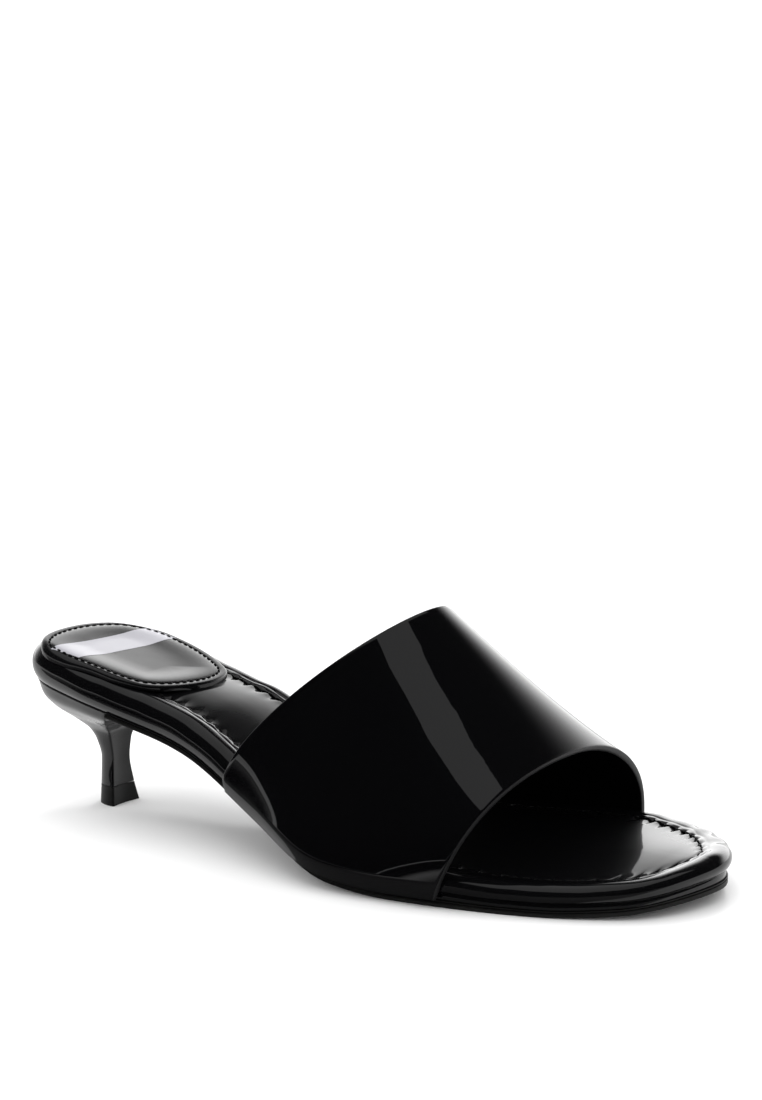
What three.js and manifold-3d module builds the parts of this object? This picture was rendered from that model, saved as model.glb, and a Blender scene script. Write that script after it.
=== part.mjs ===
// Open-toed kitten heel slide, right shoe, built from the plan and side line of its last.
// Millimetres. +X runs from heel to toe, +Y to the wearer's left (the big-toe side), +Z up.
import * as THREE from 'three';
import { mergeVertices } from 'three/addons/utils/BufferGeometryUtils.js';
import Module from 'manifold-3d';

const wasm = await Module();
wasm.setup();

// Driving sizes of the last and of the pieces
const LENGTH = 245;
const BALL_WIDTH = 98;
const HEEL_HEIGHT = 42;
const TOE_SPRING = 4.2;
const CLEARANCE = 0.3;

// Outsole: its edge is set in from the padded rim, and it is skived thin in the waist
const SOLE_BALL_THICKNESS = 2.4;
const SOLE_WAIST_THICKNESS = 1.3;
const SOLE_SEAT_THICKNESS = 0.7;
const SOLE_EDGE_INSET = 1.2;
const SOLE_EDGE_STEP = 0.5;

// Footbed: a board band below, then the padded rim that rolls over to the inner seam
const BAND_HEIGHT = 1.9;
const BAND_WAIST_HEIGHT = 0.4;
const BAND_INSET = 1.7;
const BAND_SHOULDER = 0.2;
const BED_HEIGHT_HEEL = 12.2;
const BED_HEIGHT_TOE = 11.5;
const RIM_RADIUS = 5;
const RIM_WIDTH = 8.8;
const RIM_TUCK = 50;
const SEAM_DEPTH = 1.9;
const PANEL_THICKNESS = 1.3;
const PANEL_EASE = 4;
const PANEL_RISE_HEEL = 0.7;
const PANEL_RISE_TOE = 0.35;

// Heel pad glued over the back of the footbed
const PAD_START = 4.6;
const PAD_LENGTH = 58.6;
const PAD_WIDTH = 48.4;
const PAD_THICKNESS = 1.2;
const PAD_DISH = 0.9;
const PAD_FLAT_SHARE = 0.85;
const PAD_DISHED_SHARE = 0.5;

// Strap: one band with a constant wall, tucked under the rim at both sides
const STRAP_WALL = 2.1;
const STRAP_CROWN_REAR = 78.5;
const STRAP_CROWN_FRONT = 40;
const STRAP_EASE = 0.4;
const STRAP_TUCK = 1.3;
const STRAP_SKIVE = 0.8;
const STRAP_HUG = 14;
const STRAP_SLIDE = 2.2;

// Heel block and its top piece
const SEAT_LENGTH = 41;
const SEAT_INSET = 1.9;
const SEAT_ROUNDNESS = 3.2;
const STEM_ROUNDNESS = 2;
const TIP_HEIGHT = 5.9;
const TIP_WIDTH = 13.4;
const TIP_DEPTH = 9.4;
const NECK_WIDTH = 8.8;
const NECK_DEPTH = 7.7;
const BREAST_HOLLOW = 0.1;
const SEAT_TILT_START = 0.3;

// Plan outline of the padded rim: along as a share of LENGTH, the sides as shares of BALL_WIDTH
const OUTLINE = [
  { along: 0.022, near: 0.193, far: 0.193 },
  { along: 0.110, near: 0.266, far: 0.297 },
  { along: 0.270, near: 0.283, far: 0.258 },
  { along: 0.420, near: 0.348, far: 0.258 },
  { along: 0.560, near: 0.462, far: 0.342 },
  { along: 0.680, near: 0.450, far: 0.458 },
  { along: 0.800, near: 0.395, far: 0.522 },
  { along: 0.900, near: 0.302, far: 0.432 },
  { along: 0.968, near: 0.178, far: 0.260 },
];
const OUTLINE_ENDS = { back: 0, front: 0.085 };

// Plan outline of the heel pad: along as a share of PAD_LENGTH, the sides as shares of PAD_WIDTH
const PAD_OUTLINE = [
  { along: 0.03, near: 0.270, far: 0.220 },
  { along: 0.12, near: 0.430, far: 0.405 },
  { along: 0.30, near: 0.494, far: 0.500 },
  { along: 0.52, near: 0.500, far: 0.486 },
  { along: 0.70, near: 0.497, far: 0.432 },
  { along: 0.85, near: 0.446, far: 0.352 },
  { along: 0.95, near: 0.270, far: 0.262 },
];
const PAD_ENDS = { back: -0.012, front: 0.052 };

// Side line of the sole's underside: rise is a share of HEEL_HEIGHT, spring of TOE_SPRING
const SIDE_LINE = [
  { along: 0.00, rise: 1.000, spring: 0 },
  { along: 0.10, rise: 0.900, spring: 0 },
  { along: 0.20, rise: 0.790, spring: 0 },
  { along: 0.30, rise: 0.665, spring: 0 },
  { along: 0.45, rise: 0.290, spring: 0 },
  { along: 0.58, rise: 0.042, spring: 0 },
  { along: 0.67, rise: 0, spring: 0 },
  { along: 0.84, rise: 0, spring: 0 },
  { along: 0.93, rise: 0, spring: 0.30 },
  { along: 1.00, rise: 0, spring: 1 },
];

// How far the sole and the band have filled out from the waist to the ball, 0 to 1
const FILL_OUT = [
  { along: 0.00, share: 0 },
  { along: 0.38, share: 0 },
  { along: 0.62, share: 1 },
  { along: 1.00, share: 1 },
];

// Stepped edge of the outsole, from its underside up: step is a share of SOLE_EDGE_STEP set in,
// rise a share of the thickness
const SOLE_EDGE = [
  { step: 1, rise: 0 },
  { step: 0, rise: 0.22 },
  { step: 0, rise: 0.62 },
  { step: 1, rise: 0.70 },
  { step: 1, rise: 0.80 },
  { step: 0, rise: 0.88 },
  { step: 0, rise: 1 },
];

// Heel pad's rings, underside first: scale is a share of its outline, lift of its thickness
const PAD_RINGS = [
  { scale: 0.6, lift: 0 },
  { scale: 0.8, lift: 0 },
  { scale: 0.99, lift: 0 },
  { scale: 1, lift: 0.3 },
  { scale: 0.985, lift: 1 },
  { scale: 0.8, lift: 1 },
  { scale: 0.6, lift: 1 },
];

// Strap edges: where each meets the sole on either side, its crown, and how full and how
// forward-leaning each half of its arch is
const STRAP_EDGES = {
  rear: {
    nearFoot: 0.389, farFoot: 0.440, crownAlong: 0.615, crownFar: 0.018, crown: STRAP_CROWN_REAR,
    nearFull: 2.40, farFull: 2.36, lean: 1.31,
  },
  front: {
    nearFoot: 0.7375, farFoot: 0.7775, crownAlong: 0.802, crownFar: 0.061, crown: STRAP_CROWN_FRONT,
    nearFull: 2.57, farFull: 1.93, lean: 1.12,
  },
};

// Foot of the strap below the rim's widest line: rise from the sole to that line, and the shares of
// STRAP_TUCK and STRAP_SKIVE that it is drawn in and thinned by. On the near side its front end also
// slides back by STRAP_SLIDE on its way down.
const STRAP_FOOT = [
  { rise: 0.0, tuck: 1.0, skive: 1.0 },
  { rise: 0.5, tuck: 0.3, skive: 0.4 },
];

// Heel sections from the floor up: rise is a share of the seat's height, neck goes from tip (0) to
// neck (1), and the last three columns go from the stem (0) to the seat (1)
const HEEL_SECTIONS = [
  { rise: 0.00, neck: 0.0, back: 0, breast: 0, wide: 0 },
  { rise: 0.18, neck: 0.6, back: 0, breast: 0, wide: 0 },
  { rise: 0.38, neck: 1.0, back: 0, breast: 0, wide: 0 },
  { rise: 0.53, neck: 1.0, back: 0.08, breast: 0, wide: 0.04 },
  { rise: 0.61, neck: 1.0, back: 0.18, breast: 0.03, wide: 0.10 },
  { rise: 0.70, neck: 1.0, back: 0.36, breast: 0.20, wide: 0.30 },
  { rise: 0.80, neck: 1.0, back: 0.61, breast: 0.55, wide: 0.62 },
  { rise: 0.90, neck: 1.0, back: 0.81, breast: 0.84, wide: 0.88 },
  { rise: 1.00, neck: 1.0, back: 1, breast: 1, wide: 1 },
];
const TIP_BREAST = 28.1;
const NECK_BREAST = 26.4;

// Facet counts
const STEPS_PER_ROW = 4;
const FINE_STEPS = 400;
const RIM_STEPS = [-RIM_TUCK, -RIM_TUCK / 2, 0, 30, 60, 90];
const SEAM_STEPS = [45, 90];
const PAD_STEPS = 48;
const STRAP_COLUMNS = 13;
const ARCH_STEPS = 24;
const ARCH_CROWDING = 1.3;
const HEEL_STEPS = 22;
const HEEL_LEVELS = 15;
const BREAST_STEPS = 4;

const mix = (from, to, share) => from + (to - from) * share;
const ease = (value) => {
  const share = Math.min(Math.max(value, 0), 1);
  return share * share * (3 - 2 * share);
};
const toRadians = THREE.MathUtils.degToRad;

// Reads a column of a table along a curve that never overshoots its rows
function smoothColumn(rows, key, column, at) {
  const last = rows.length - 1;
  const where = Math.min(Math.max(at, rows[0][key]), rows[last][key]);
  const slopes = rows.slice(1).map((row, i) => (row[column] - rows[i][column]) / (row[key] - rows[i][key]));
  const tangent = (i) => {
    if (i === 0) return slopes[0];
    if (i === last) return slopes[last - 1];
    const before = slopes[i - 1];
    const after = slopes[i];
    return before * after <= 0 ? 0 : (2 * before * after) / (before + after);
  };
  let i = 0;
  while (i < last - 1 && where > rows[i + 1][key]) i += 1;
  const span = rows[i + 1][key] - rows[i][key];
  const t = (where - rows[i][key]) / span;
  const rest = 1 - t;
  const start = rest * rest * (1 + 2 * t) * rows[i][column] + rest * rest * t * span * tangent(i);
  const end = t * t * (3 - 2 * t) * rows[i + 1][column] - t * t * rest * span * tangent(i + 1);
  return start + end;
}

// Heights of each layer above the floor, all from the side line of the underside
const fillAt = (x) => smoothColumn(FILL_OUT, 'along', 'share', x / LENGTH);
const underside = (x) => smoothColumn(SIDE_LINE, 'along', 'rise', x / LENGTH) * HEEL_HEIGHT
  + smoothColumn(SIDE_LINE, 'along', 'spring', x / LENGTH) * TOE_SPRING;
const soleTop = (x) => {
  const waist = mix(SOLE_SEAT_THICKNESS, SOLE_WAIST_THICKNESS, ease(x / SEAT_LENGTH));
  return underside(x) + mix(waist, SOLE_BALL_THICKNESS, fillAt(x));
};
const bedBottom = (x) => soleTop(x) + CLEARANCE;
const bandTop = (x) => bedBottom(x) + mix(BAND_WAIST_HEIGHT, BAND_HEIGHT, fillAt(x));
const crest = (x) => underside(x) + mix(BED_HEIGHT_HEEL, BED_HEIGHT_TOE, x / LENGTH);
const seamLine = (x) => crest(x) - SEAM_DEPTH;
const rimInset = (degrees) => RIM_RADIUS * (1 - Math.cos(toRadians(degrees)));
const rimHeight = (x, degrees) => {
  const half = (crest(x) - bandTop(x)) / (1 + Math.sin(toRadians(RIM_TUCK)));
  return crest(x) - half * (1 - Math.sin(toRadians(degrees)));
};
const padFront = PAD_START + PAD_LENGTH;
const panelCentre = (x) => {
  const forward = ease((x - padFront) / PAD_LENGTH);
  return seamLine(x) + mix(PANEL_RISE_HEEL, PANEL_RISE_TOE, forward);
};

// Closed plan curve through a table's rows, near side first, from the back point round the front
function planCurve(rows, ends, start, length, width) {
  const point = (along, across) => new THREE.Vector3(start + along * length, across * width, 0);
  const near = rows.map((row) => point(row.along, -row.near));
  const far = rows.map((row) => point(row.along, row.far)).reverse();
  const points = [point(0, ends.back), ...near, point(1, ends.front), ...far];
  return new THREE.CatmullRomCurve3(points, true, 'centripetal');
}
const outline = planCurve(OUTLINE, OUTLINE_ENDS, 0, LENGTH, BALL_WIDTH);
const padOutline = planCurve(PAD_OUTLINE, PAD_ENDS, PAD_START, PAD_LENGTH, PAD_WIDTH);
const RING_POINTS = 2 * (OUTLINE.length + 1) * STEPS_PER_ROW;

// One ring of the plan, set in from the outline by a distance square to it
function insetRing(inset, count = RING_POINTS) {
  return Array.from({ length: count }, (_, i) => {
    const at = outline.getPoint(i / count);
    const along = outline.getTangent(i / count);
    return new THREE.Vector2(at.x - along.y * inset, at.y + along.x * inset);
  });
}

// Outline's side at a distance along the shoe, set in or out: side -1 is near, +1 is far
const fineRings = new Map();
function sideOf(x, side, inset) {
  if (!fineRings.has(inset)) fineRings.set(inset, insetRing(inset, FINE_STEPS));
  const ring = fineRings.get(inset);
  const toe = ring.reduce((best, point, i) => (point.x > ring[best].x ? i : best), 0);
  const half = side < 0 ? ring.slice(0, toe + 1) : [...ring.slice(toe), ring[0]].reverse();
  const next = Math.max(half.findIndex((point) => point.x >= x), 1);
  const before = half[next - 1];
  const after = half[next];
  return mix(before.y, after.y, Math.min(Math.max((x - before.x) / (after.x - before.x), 0), 1));
}

// Builds closed bodies from points and triangles
class Solid {
  constructor() {
    this.points = [];
    this.faces = [];
  }

  addRow(row) {
    const start = this.points.length;
    this.points.push(...row);
    return row.map((_, i) => start + i);
  }

  quad(a, b, c, d) {
    this.faces.push(a, b, c, a, c, d);
  }

  // Skin between two rows of the same count, closed round when looped
  skin(lower, upper, looped) {
    const count = looped ? lower.length : lower.length - 1;
    for (let i = 0; i < count; i += 1) {
      const next = (i + 1) % lower.length;
      this.quad(lower[i], lower[next], upper[next], upper[i]);
    }
  }

  // Flat or rolling cap: straight rungs between the two sides of a ring that starts at its heel point
  cap(ring, facingUp) {
    const count = ring.length;
    const half = count / 2;
    const face = (a, b, c) => this.faces.push(...(facingUp ? [a, b, c] : [a, c, b]));
    face(ring[0], ring[1], ring[count - 1]);
    for (let i = 1; i < half - 1; i += 1) {
      face(ring[i], ring[i + 1], ring[count - i - 1]);
      face(ring[i], ring[count - i - 1], ring[count - i]);
    }
    face(ring[half - 1], ring[half], ring[half + 1]);
  }

  geometry() {
    const shape = new THREE.BufferGeometry();
    const places = this.points.flatMap((point) => [point.x, point.y, point.z]);
    shape.setAttribute('position', new THREE.Float32BufferAttribute(places, 3));
    shape.setIndex(this.faces);
    return shape;
  }
}

// Stacks rings from the underside up and caps both ends; each level gives an inset and a height
function stackRings(levels, ringAt) {
  const solid = new Solid();
  const rows = levels.map((level) => solid.addRow(
    ringAt(level).map((p) => new THREE.Vector3(p.x, p.y, level.height(p.x, p.y))),
  ));
  rows.slice(1).forEach((row, i) => solid.skin(rows[i], row, true));
  solid.cap(rows[0], false);
  solid.cap(rows[rows.length - 1], true);
  return solid.geometry();
}
const planRing = (level) => insetRing(level.inset);

// Takes one closed shape away from another
function cutAway(shape, cutter) {
  const asSolid = (geometry) => {
    const bare = geometry.clone();
    bare.deleteAttribute('normal');
    bare.deleteAttribute('uv');
    const merged = mergeVertices(bare, 1e-5);
    return new wasm.Manifold(new wasm.Mesh({
      numProp: 3,
      vertProperties: new Float32Array(merged.attributes.position.array),
      triVerts: new Uint32Array(merged.index.array),
    }));
  };
  const mesh = asSolid(shape).subtract(asSolid(cutter)).getMesh();
  const result = new THREE.BufferGeometry();
  result.setAttribute('position', new THREE.Float32BufferAttribute(mesh.vertProperties, 3));
  result.setIndex([...mesh.triVerts]);
  return result;
}

// Outsole: stepped edge, from the heel breast to the toe
function makeOutsole() {
  const edge = SOLE_EDGE.map((row) => ({
    inset: SOLE_EDGE_INSET + SOLE_EDGE_STEP * row.step,
    height: (x) => mix(underside(x), soleTop(x), row.rise),
  }));
  const breast = SEAT_LENGTH + CLEARANCE;
  const behindBreast = new THREE.BoxGeometry(2 * breast, 2 * BALL_WIDTH, 4 * HEEL_HEIGHT);
  return cutAway(stackRings(edge, planRing), behindBreast);
}

// Footbed: board band, padded rim, and the hollow that the inner panel lies in
function makeFootbed() {
  const rim = RIM_STEPS.map((degrees) => ({
    inset: rimInset(degrees),
    height: (x) => rimHeight(x, degrees),
  }));
  const inner = SEAM_STEPS.map((degrees) => ({
    inset: RIM_RADIUS + (RIM_WIDTH - RIM_RADIUS) * Math.sin(toRadians(degrees)),
    height: (x) => crest(x) - SEAM_DEPTH * (1 - Math.cos(toRadians(degrees))),
  }));
  const floor = { inset: RIM_WIDTH, height: (x) => seamLine(x) - PANEL_THICKNESS - CLEARANCE };
  const band = [
    { inset: BAND_INSET, height: bedBottom },
    { inset: BAND_INSET, height: (x) => bandTop(x) - BAND_SHOULDER },
  ];
  return stackRings([...band, ...rim, ...inner, floor], planRing);
}

// Inner panel: a thin crowned sheet inside the gathered seam
function makePanel() {
  const levels = [
    { inset: RIM_WIDTH + CLEARANCE, height: (x) => seamLine(x) - PANEL_THICKNESS },
    { inset: RIM_WIDTH + CLEARANCE, height: (x) => seamLine(x) - CLEARANCE },
    { inset: RIM_WIDTH + PANEL_EASE, height: panelCentre },
  ];
  return stackRings(levels, planRing);
}

// Heel pad: dished a little, lying on the rim and on the inner panel
function makePad() {
  const centre = new THREE.Vector3(PAD_START + PAD_LENGTH / 2, 0, 0);
  const padRing = (level) => Array.from({ length: PAD_STEPS }, (_, i) => {
    const at = padOutline.getPoint(i / PAD_STEPS).lerp(centre, 1 - level.scale);
    return new THREE.Vector2(at.x, at.y);
  });
  const dish = (scale) => PAD_DISH * ease((PAD_FLAT_SHARE - scale) / (PAD_FLAT_SHARE - PAD_DISHED_SHARE));
  const levels = PAD_RINGS.map((row) => ({
    scale: row.scale,
    height: (x) => crest(x) + CLEARANCE + PAD_THICKNESS * row.lift - dish(row.scale),
  }));
  return stackRings(levels, padRing);
}

// Point of the strap's outer face: across runs 0 to 1 from rear to front edge
function archPoint(across, degrees) {
  const edge = (name) => mix(STRAP_EDGES.rear[name], STRAP_EDGES.front[name], across);
  const isNear = degrees <= 90;
  const side = isNear ? -1 : 1;
  const angle = toRadians(isNear ? degrees : 180 - degrees);
  const power = 2 / edge(isNear ? 'nearFull' : 'farFull');
  const up = Math.sin(angle) ** power;
  const inward = 1 - Math.max(Math.cos(angle), 0) ** power;
  const footX = edge(isNear ? 'nearFoot' : 'farFoot') * LENGTH;
  const footY = sideOf(footX, side, -(STRAP_EASE + STRAP_WALL));
  const footZ = rimHeight(footX, 0);
  const x = mix(footX, edge('crownAlong') * LENGTH, up ** edge('lean'));
  const z = mix(footZ, edge('crown'), up);
  const besideRim = sideOf(x, side, -(STRAP_EASE + STRAP_WALL));
  const y = mix(besideRim, footY, ease((z - footZ) / STRAP_HUG));
  return new THREE.Vector3(x, mix(y, edge('crownFar') * BALL_WIDTH, inward), z);
}

// Angle round the arch, with its steps closer together near both feet
function archDegrees(step) {
  const share = (2 * step) / ARCH_STEPS;
  return share <= 1 ? 90 * share ** ARCH_CROWDING : 180 - 90 * (2 - share) ** ARCH_CROWDING;
}

// Point on the outer or inner face of the strap's foot
function footPoint(across, side, foot, isInner) {
  const edge = side < 0 ? 'nearFoot' : 'farFoot';
  const slide = side < 0 ? STRAP_SLIDE * across * (1 - foot.rise) : 0;
  const x = mix(STRAP_EDGES.rear[edge], STRAP_EDGES.front[edge], across) * LENGTH - slide;
  const outer = STRAP_TUCK * foot.tuck - STRAP_EASE - STRAP_WALL;
  const inset = isInner ? outer + STRAP_WALL - STRAP_SKIVE * foot.skive : outer;
  return new THREE.Vector3(x, sideOf(x, side, inset), mix(bedBottom(x), rimHeight(x, 0), foot.rise));
}

// Strap: an outer face and an inner face one wall apart, joined round their four edges
function makeStrap() {
  const feet = (across, side, isInner) => STRAP_FOOT.map((foot) => footPoint(across, side, foot, isInner));
  const turns = Array.from({ length: ARCH_STEPS + 1 }, (_, i) => archDegrees(i));
  const arch = (across) => turns.map((degrees) => archPoint(across, degrees));
  const shares = Array.from({ length: STRAP_COLUMNS }, (_, i) => i / (STRAP_COLUMNS - 1));
  const lastColumn = STRAP_COLUMNS - 1;
  const withFeet = (row, across, isInner) => [
    ...feet(across, -1, isInner), ...row, ...feet(across, 1, isInner).reverse(),
  ];
  const outerArches = shares.map(arch);
  const innerArches = outerArches.map((row, c) => row.map((point, r) => {
    const along = outerArches[Math.min(c + 1, lastColumn)][r].clone();
    along.sub(outerArches[Math.max(c - 1, 0)][r]);
    const round = row[Math.min(r + 1, ARCH_STEPS)].clone().sub(row[Math.max(r - 1, 0)]);
    return point.clone().sub(along.cross(round).normalize().multiplyScalar(STRAP_WALL));
  }));
  const outer = outerArches.map((row, c) => withFeet(row, shares[c], false));
  const inner = innerArches.map((row, c) => withFeet(row, shares[c], true));
  const lastRow = outer[0].length - 1;
  const solid = new Solid();
  const outside = outer.map((row) => solid.addRow(row));
  const inside = inner.map((row) => solid.addRow(row));
  for (let c = 0; c < lastColumn; c += 1) {
    solid.skin(outside[c + 1], outside[c], false);
    solid.skin(inside[c], inside[c + 1], false);
    solid.quad(outside[c + 1][0], outside[c][0], inside[c][0], inside[c + 1][0]);
    solid.quad(outside[c][lastRow], outside[c + 1][lastRow], inside[c + 1][lastRow], inside[c][lastRow]);
  }
  solid.skin(outside[0], inside[0], false);
  solid.skin(inside[lastColumn], outside[lastColumn], false);
  return solid.geometry();
}

// One level of the heel: a rounded back from near to far, closed by a slightly hollow breast
function heelRing(rise) {
  const at = (column) => smoothColumn(HEEL_SECTIONS, 'rise', column, rise);
  const stem = (tip, neck) => mix(tip, neck, at('neck'));
  const stemBreast = stem(TIP_BREAST, NECK_BREAST);
  const breast = mix(stemBreast, SEAT_LENGTH, at('breast'));
  const back = mix(stemBreast - stem(TIP_DEPTH, NECK_DEPTH), SEAT_INSET, at('back'));
  const power = 2 / mix(STEM_ROUNDNESS, SEAT_ROUNDNESS, at('wide'));
  const seatMiddle = (sideOf(SEAT_LENGTH / 2, -1, 0) + sideOf(SEAT_LENGTH / 2, 1, 0)) / 2;
  const stemHalf = stem(TIP_WIDTH, NECK_WIDTH) / 2;
  const seatHalf = (x, side) => Math.abs(sideOf(x, side, SEAT_INSET) - seatMiddle);
  const tilt = ease((rise - SEAT_TILT_START) / (1 - SEAT_TILT_START));
  const height = (x) => rise * (mix(bedBottom(NECK_BREAST), bedBottom(x), tilt) - CLEARANCE);
  const pointAt = (x, y) => new THREE.Vector3(x, y, height(x));
  const middle = seatMiddle * at('wide');
  const sideY = (x, side, sine) => middle + side * mix(stemHalf * sine, seatHalf(x, side), at('wide'));
  const backRow = Array.from({ length: HEEL_STEPS + 1 }, (_, i) => {
    const angle = toRadians(-90 + (180 * i) / HEEL_STEPS);
    const x = breast - (breast - back) * Math.max(Math.cos(angle), 0) ** power;
    const sine = Math.abs(Math.sin(angle)) ** power;
    return pointAt(x, 2 * i === HEEL_STEPS ? middle : sideY(x, Math.sign(angle), sine));
  });
  const first = backRow[0];
  const last = backRow[HEEL_STEPS];
  const breastRow = Array.from({ length: BREAST_STEPS - 1 }, (_, i) => {
    const share = (i + 1) / BREAST_STEPS;
    const hollow = BREAST_HOLLOW * stemHalf * Math.sin(Math.PI * share);
    return pointAt(breast - hollow, mix(last.y, first.y, share));
  });
  return [...backRow, ...breastRow];
}

// Heel piece between two rises; its caps are strips across, so that the top follows the footbed
function makeHeelPiece(from, to, levels) {
  const solid = new Solid();
  const rises = Array.from({ length: levels }, (_, i) => mix(from, to, i / (levels - 1)));
  const rows = rises.map((rise) => solid.addRow(heelRing(rise)));
  rows.slice(1).forEach((row, i) => solid.skin(row, rows[i], true));
  const cap = (row, facingUp) => {
    const face = (a, b, c) => solid.faces.push(...(facingUp ? [a, c, b] : [a, b, c]));
    const half = HEEL_STEPS / 2;
    for (let i = 0; i < half - 1; i += 1) {
      face(row[i], row[i + 1], row[HEEL_STEPS - i - 1]);
      face(row[i], row[HEEL_STEPS - i - 1], row[HEEL_STEPS - i]);
    }
    face(row[half - 1], row[half], row[half + 1]);
    for (let i = 0; i < BREAST_STEPS - 1; i += 1) {
      face(row[0], row[HEEL_STEPS + i], row[HEEL_STEPS + i + 1]);
    }
  };
  cap(rows[0], false);
  cap(rows[levels - 1], true);
  return solid.geometry();
}

const tipRise = TIP_HEIGHT / bedBottom(NECK_BREAST);
const jointRise = (TIP_HEIGHT + CLEARANCE) / bedBottom(NECK_BREAST);
const makeHeel = () => makeHeelPiece(jointRise, 1, HEEL_LEVELS);
const makeTopPiece = () => makeHeelPiece(0, tipRise, 3);

const FINISHES = {
  patent: { color: 0x0b0b0c, roughness: 0.12, metalness: 0 },
  patentPanel: { color: 0x0e0e10, roughness: 0.14, metalness: 0 },
  paintedEdge: { color: 0x141414, roughness: 0.45, metalness: 0 },
  heelCover: { color: 0x101011, roughness: 0.25, metalness: 0 },
  topLift: { color: 0x161616, roughness: 0.6, metalness: 0 },
};

const PIECES = [
  { name: 'outsole', make: makeOutsole, finish: FINISHES.paintedEdge },
  { name: 'footbed', make: makeFootbed, finish: FINISHES.patent },
  { name: 'insole_panel', make: makePanel, finish: FINISHES.patentPanel },
  { name: 'heel_pad', make: makePad, finish: FINISHES.patentPanel },
  { name: 'strap', make: makeStrap, finish: FINISHES.patent },
  { name: 'heel', make: makeHeel, finish: FINISHES.heelCover },
  { name: 'top_piece', make: makeTopPiece, finish: FINISHES.topLift },
];

const sandal = new THREE.Group();
for (const piece of PIECES) {
  const mesh = new THREE.Mesh(piece.make(), new THREE.MeshStandardMaterial(piece.finish));
  mesh.name = piece.name;
  sandal.add(mesh);
}

// The origin is the middle of the whole sandal's footprint, on the floor
const bounds = new THREE.Box3().setFromObject(sandal);
const centre = bounds.getCenter(new THREE.Vector3());
sandal.position.set(-centre.x, -centre.y, -bounds.min.z);

export default sandal;
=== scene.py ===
"""A dressed kitten heel sandal, right shoe: a wide patent band over a padded patent footbed.

Sizes are millimetres in the last's own frame: x runs from the heel point to the toe, y to the
big-toe side and z up from the floor. Meshes are written in metres in the frame of the CAD part.
"""

import logging
import math
from dataclasses import dataclass, field
from enum import Enum
from functools import cache
from typing import Callable, Sequence

import bmesh
import bpy
import numpy as np
from mathutils import Matrix, Vector


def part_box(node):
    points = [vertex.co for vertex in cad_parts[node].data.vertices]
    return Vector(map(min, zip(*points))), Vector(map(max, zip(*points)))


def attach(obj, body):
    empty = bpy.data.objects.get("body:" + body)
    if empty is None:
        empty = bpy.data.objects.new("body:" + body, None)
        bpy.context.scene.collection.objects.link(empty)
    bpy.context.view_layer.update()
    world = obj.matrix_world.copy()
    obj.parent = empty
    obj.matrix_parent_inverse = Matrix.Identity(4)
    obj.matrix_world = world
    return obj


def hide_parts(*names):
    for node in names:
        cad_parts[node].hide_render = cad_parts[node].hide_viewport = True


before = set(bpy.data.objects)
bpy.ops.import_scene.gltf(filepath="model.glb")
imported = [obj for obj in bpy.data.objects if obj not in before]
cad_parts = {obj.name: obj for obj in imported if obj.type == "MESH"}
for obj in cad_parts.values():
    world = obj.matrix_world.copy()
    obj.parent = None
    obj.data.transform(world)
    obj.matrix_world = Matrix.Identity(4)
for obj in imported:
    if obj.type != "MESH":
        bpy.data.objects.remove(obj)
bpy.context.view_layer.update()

LOG = logging.getLogger("kitten_heel_sandal")
MM = 0.001
# distances in metres under which points are merged and slivers dissolved
WELD = 2e-6
SLIVER = 1e-7
# what an aimed light faces, in metres: the middle of the shoe
SHOE_MIDDLE = (0.0, 0.0, 0.04)
Array = np.ndarray


class Side(Enum):
    """Side of the foot: the little-toe side is nearer the camera."""

    NEAR = -1
    FAR = 1


def mix(low: Array | float, high: Array | float, share: Array | float) -> Array | float:
    """Returns the value a share of the way from low to high."""
    return low + (high - low) * share


def ease(value: Array | float) -> Array | float:
    """Returns a soft step from 0 to 1 of a value clamped to that range."""
    share = np.clip(value, 0.0, 1.0)
    return share * share * (3 - 2 * share)


def hill(value: Array, centre: float, spread: float) -> Array:
    """Returns a soft hill, 1 at its centre and near 0 two spreads away."""
    return np.exp(-(((value - centre) / spread) ** 2))


def smooth_column(keys: Array, values: Array, at: Array | float) -> Array:
    """Reads a table's column along a curve that never overshoots its rows.

    Args:
        keys: Rising positions of the rows.
        values: The column's value at each row.
        at: Positions to read.

    Returns:
        The column's value at each position.
    """
    where = np.clip(np.asarray(at, float), keys[0], keys[-1])
    slopes = np.diff(values) / np.diff(keys)
    tangents = np.empty(len(keys))
    tangents[0], tangents[-1] = slopes[0], slopes[-1]
    before, after = slopes[:-1], slopes[1:]
    product = before * after
    total = np.where(before + after == 0, 1, before + after)
    tangents[1:-1] = np.where(product <= 0, 0, 2 * product / total)
    i = np.clip(np.searchsorted(keys, where, side="right") - 1, 0, len(keys) - 2)
    span = keys[i + 1] - keys[i]
    t = (where - keys[i]) / span
    rest = 1 - t
    start = rest * rest * (1 + 2 * t) * values[i] + rest * rest * t * span * tangents[i]
    end = t * t * (3 - 2 * t) * values[i + 1] - t * t * rest * span * tangents[i + 1]
    return start + end


def closed_curve(points: Array, samples: int) -> Array:
    """Runs a closed centripetal curve through points.

    Args:
        points: The curve's points, one row each.
        samples: How many points to return for each stretch.

    Returns:
        The curve's points, one row each.
    """
    count = len(points)
    t = (np.arange(samples) / samples)[:, None]
    stretches = []
    for i in range(count):
        p0, p1, p2, p3 = (points[(i + k - 1) % count] for k in range(4))
        d0, d1, d2 = (np.linalg.norm(b - a) ** 0.5 for a, b in ((p0, p1), (p1, p2), (p2, p3)))
        m1 = ((p1 - p0) / d0 - (p2 - p0) / (d0 + d1) + (p2 - p1) / d1) * d1
        m2 = ((p2 - p1) / d1 - (p3 - p1) / (d1 + d2) + (p3 - p2) / d2) * d1
        c2, c3 = 3 * (p2 - p1) - 2 * m1 - m2, 2 * (p1 - p2) + m1 + m2
        stretches.append(p1 + m1 * t + c2 * t**2 + c3 * t**3)
    return np.concatenate(stretches)


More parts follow.
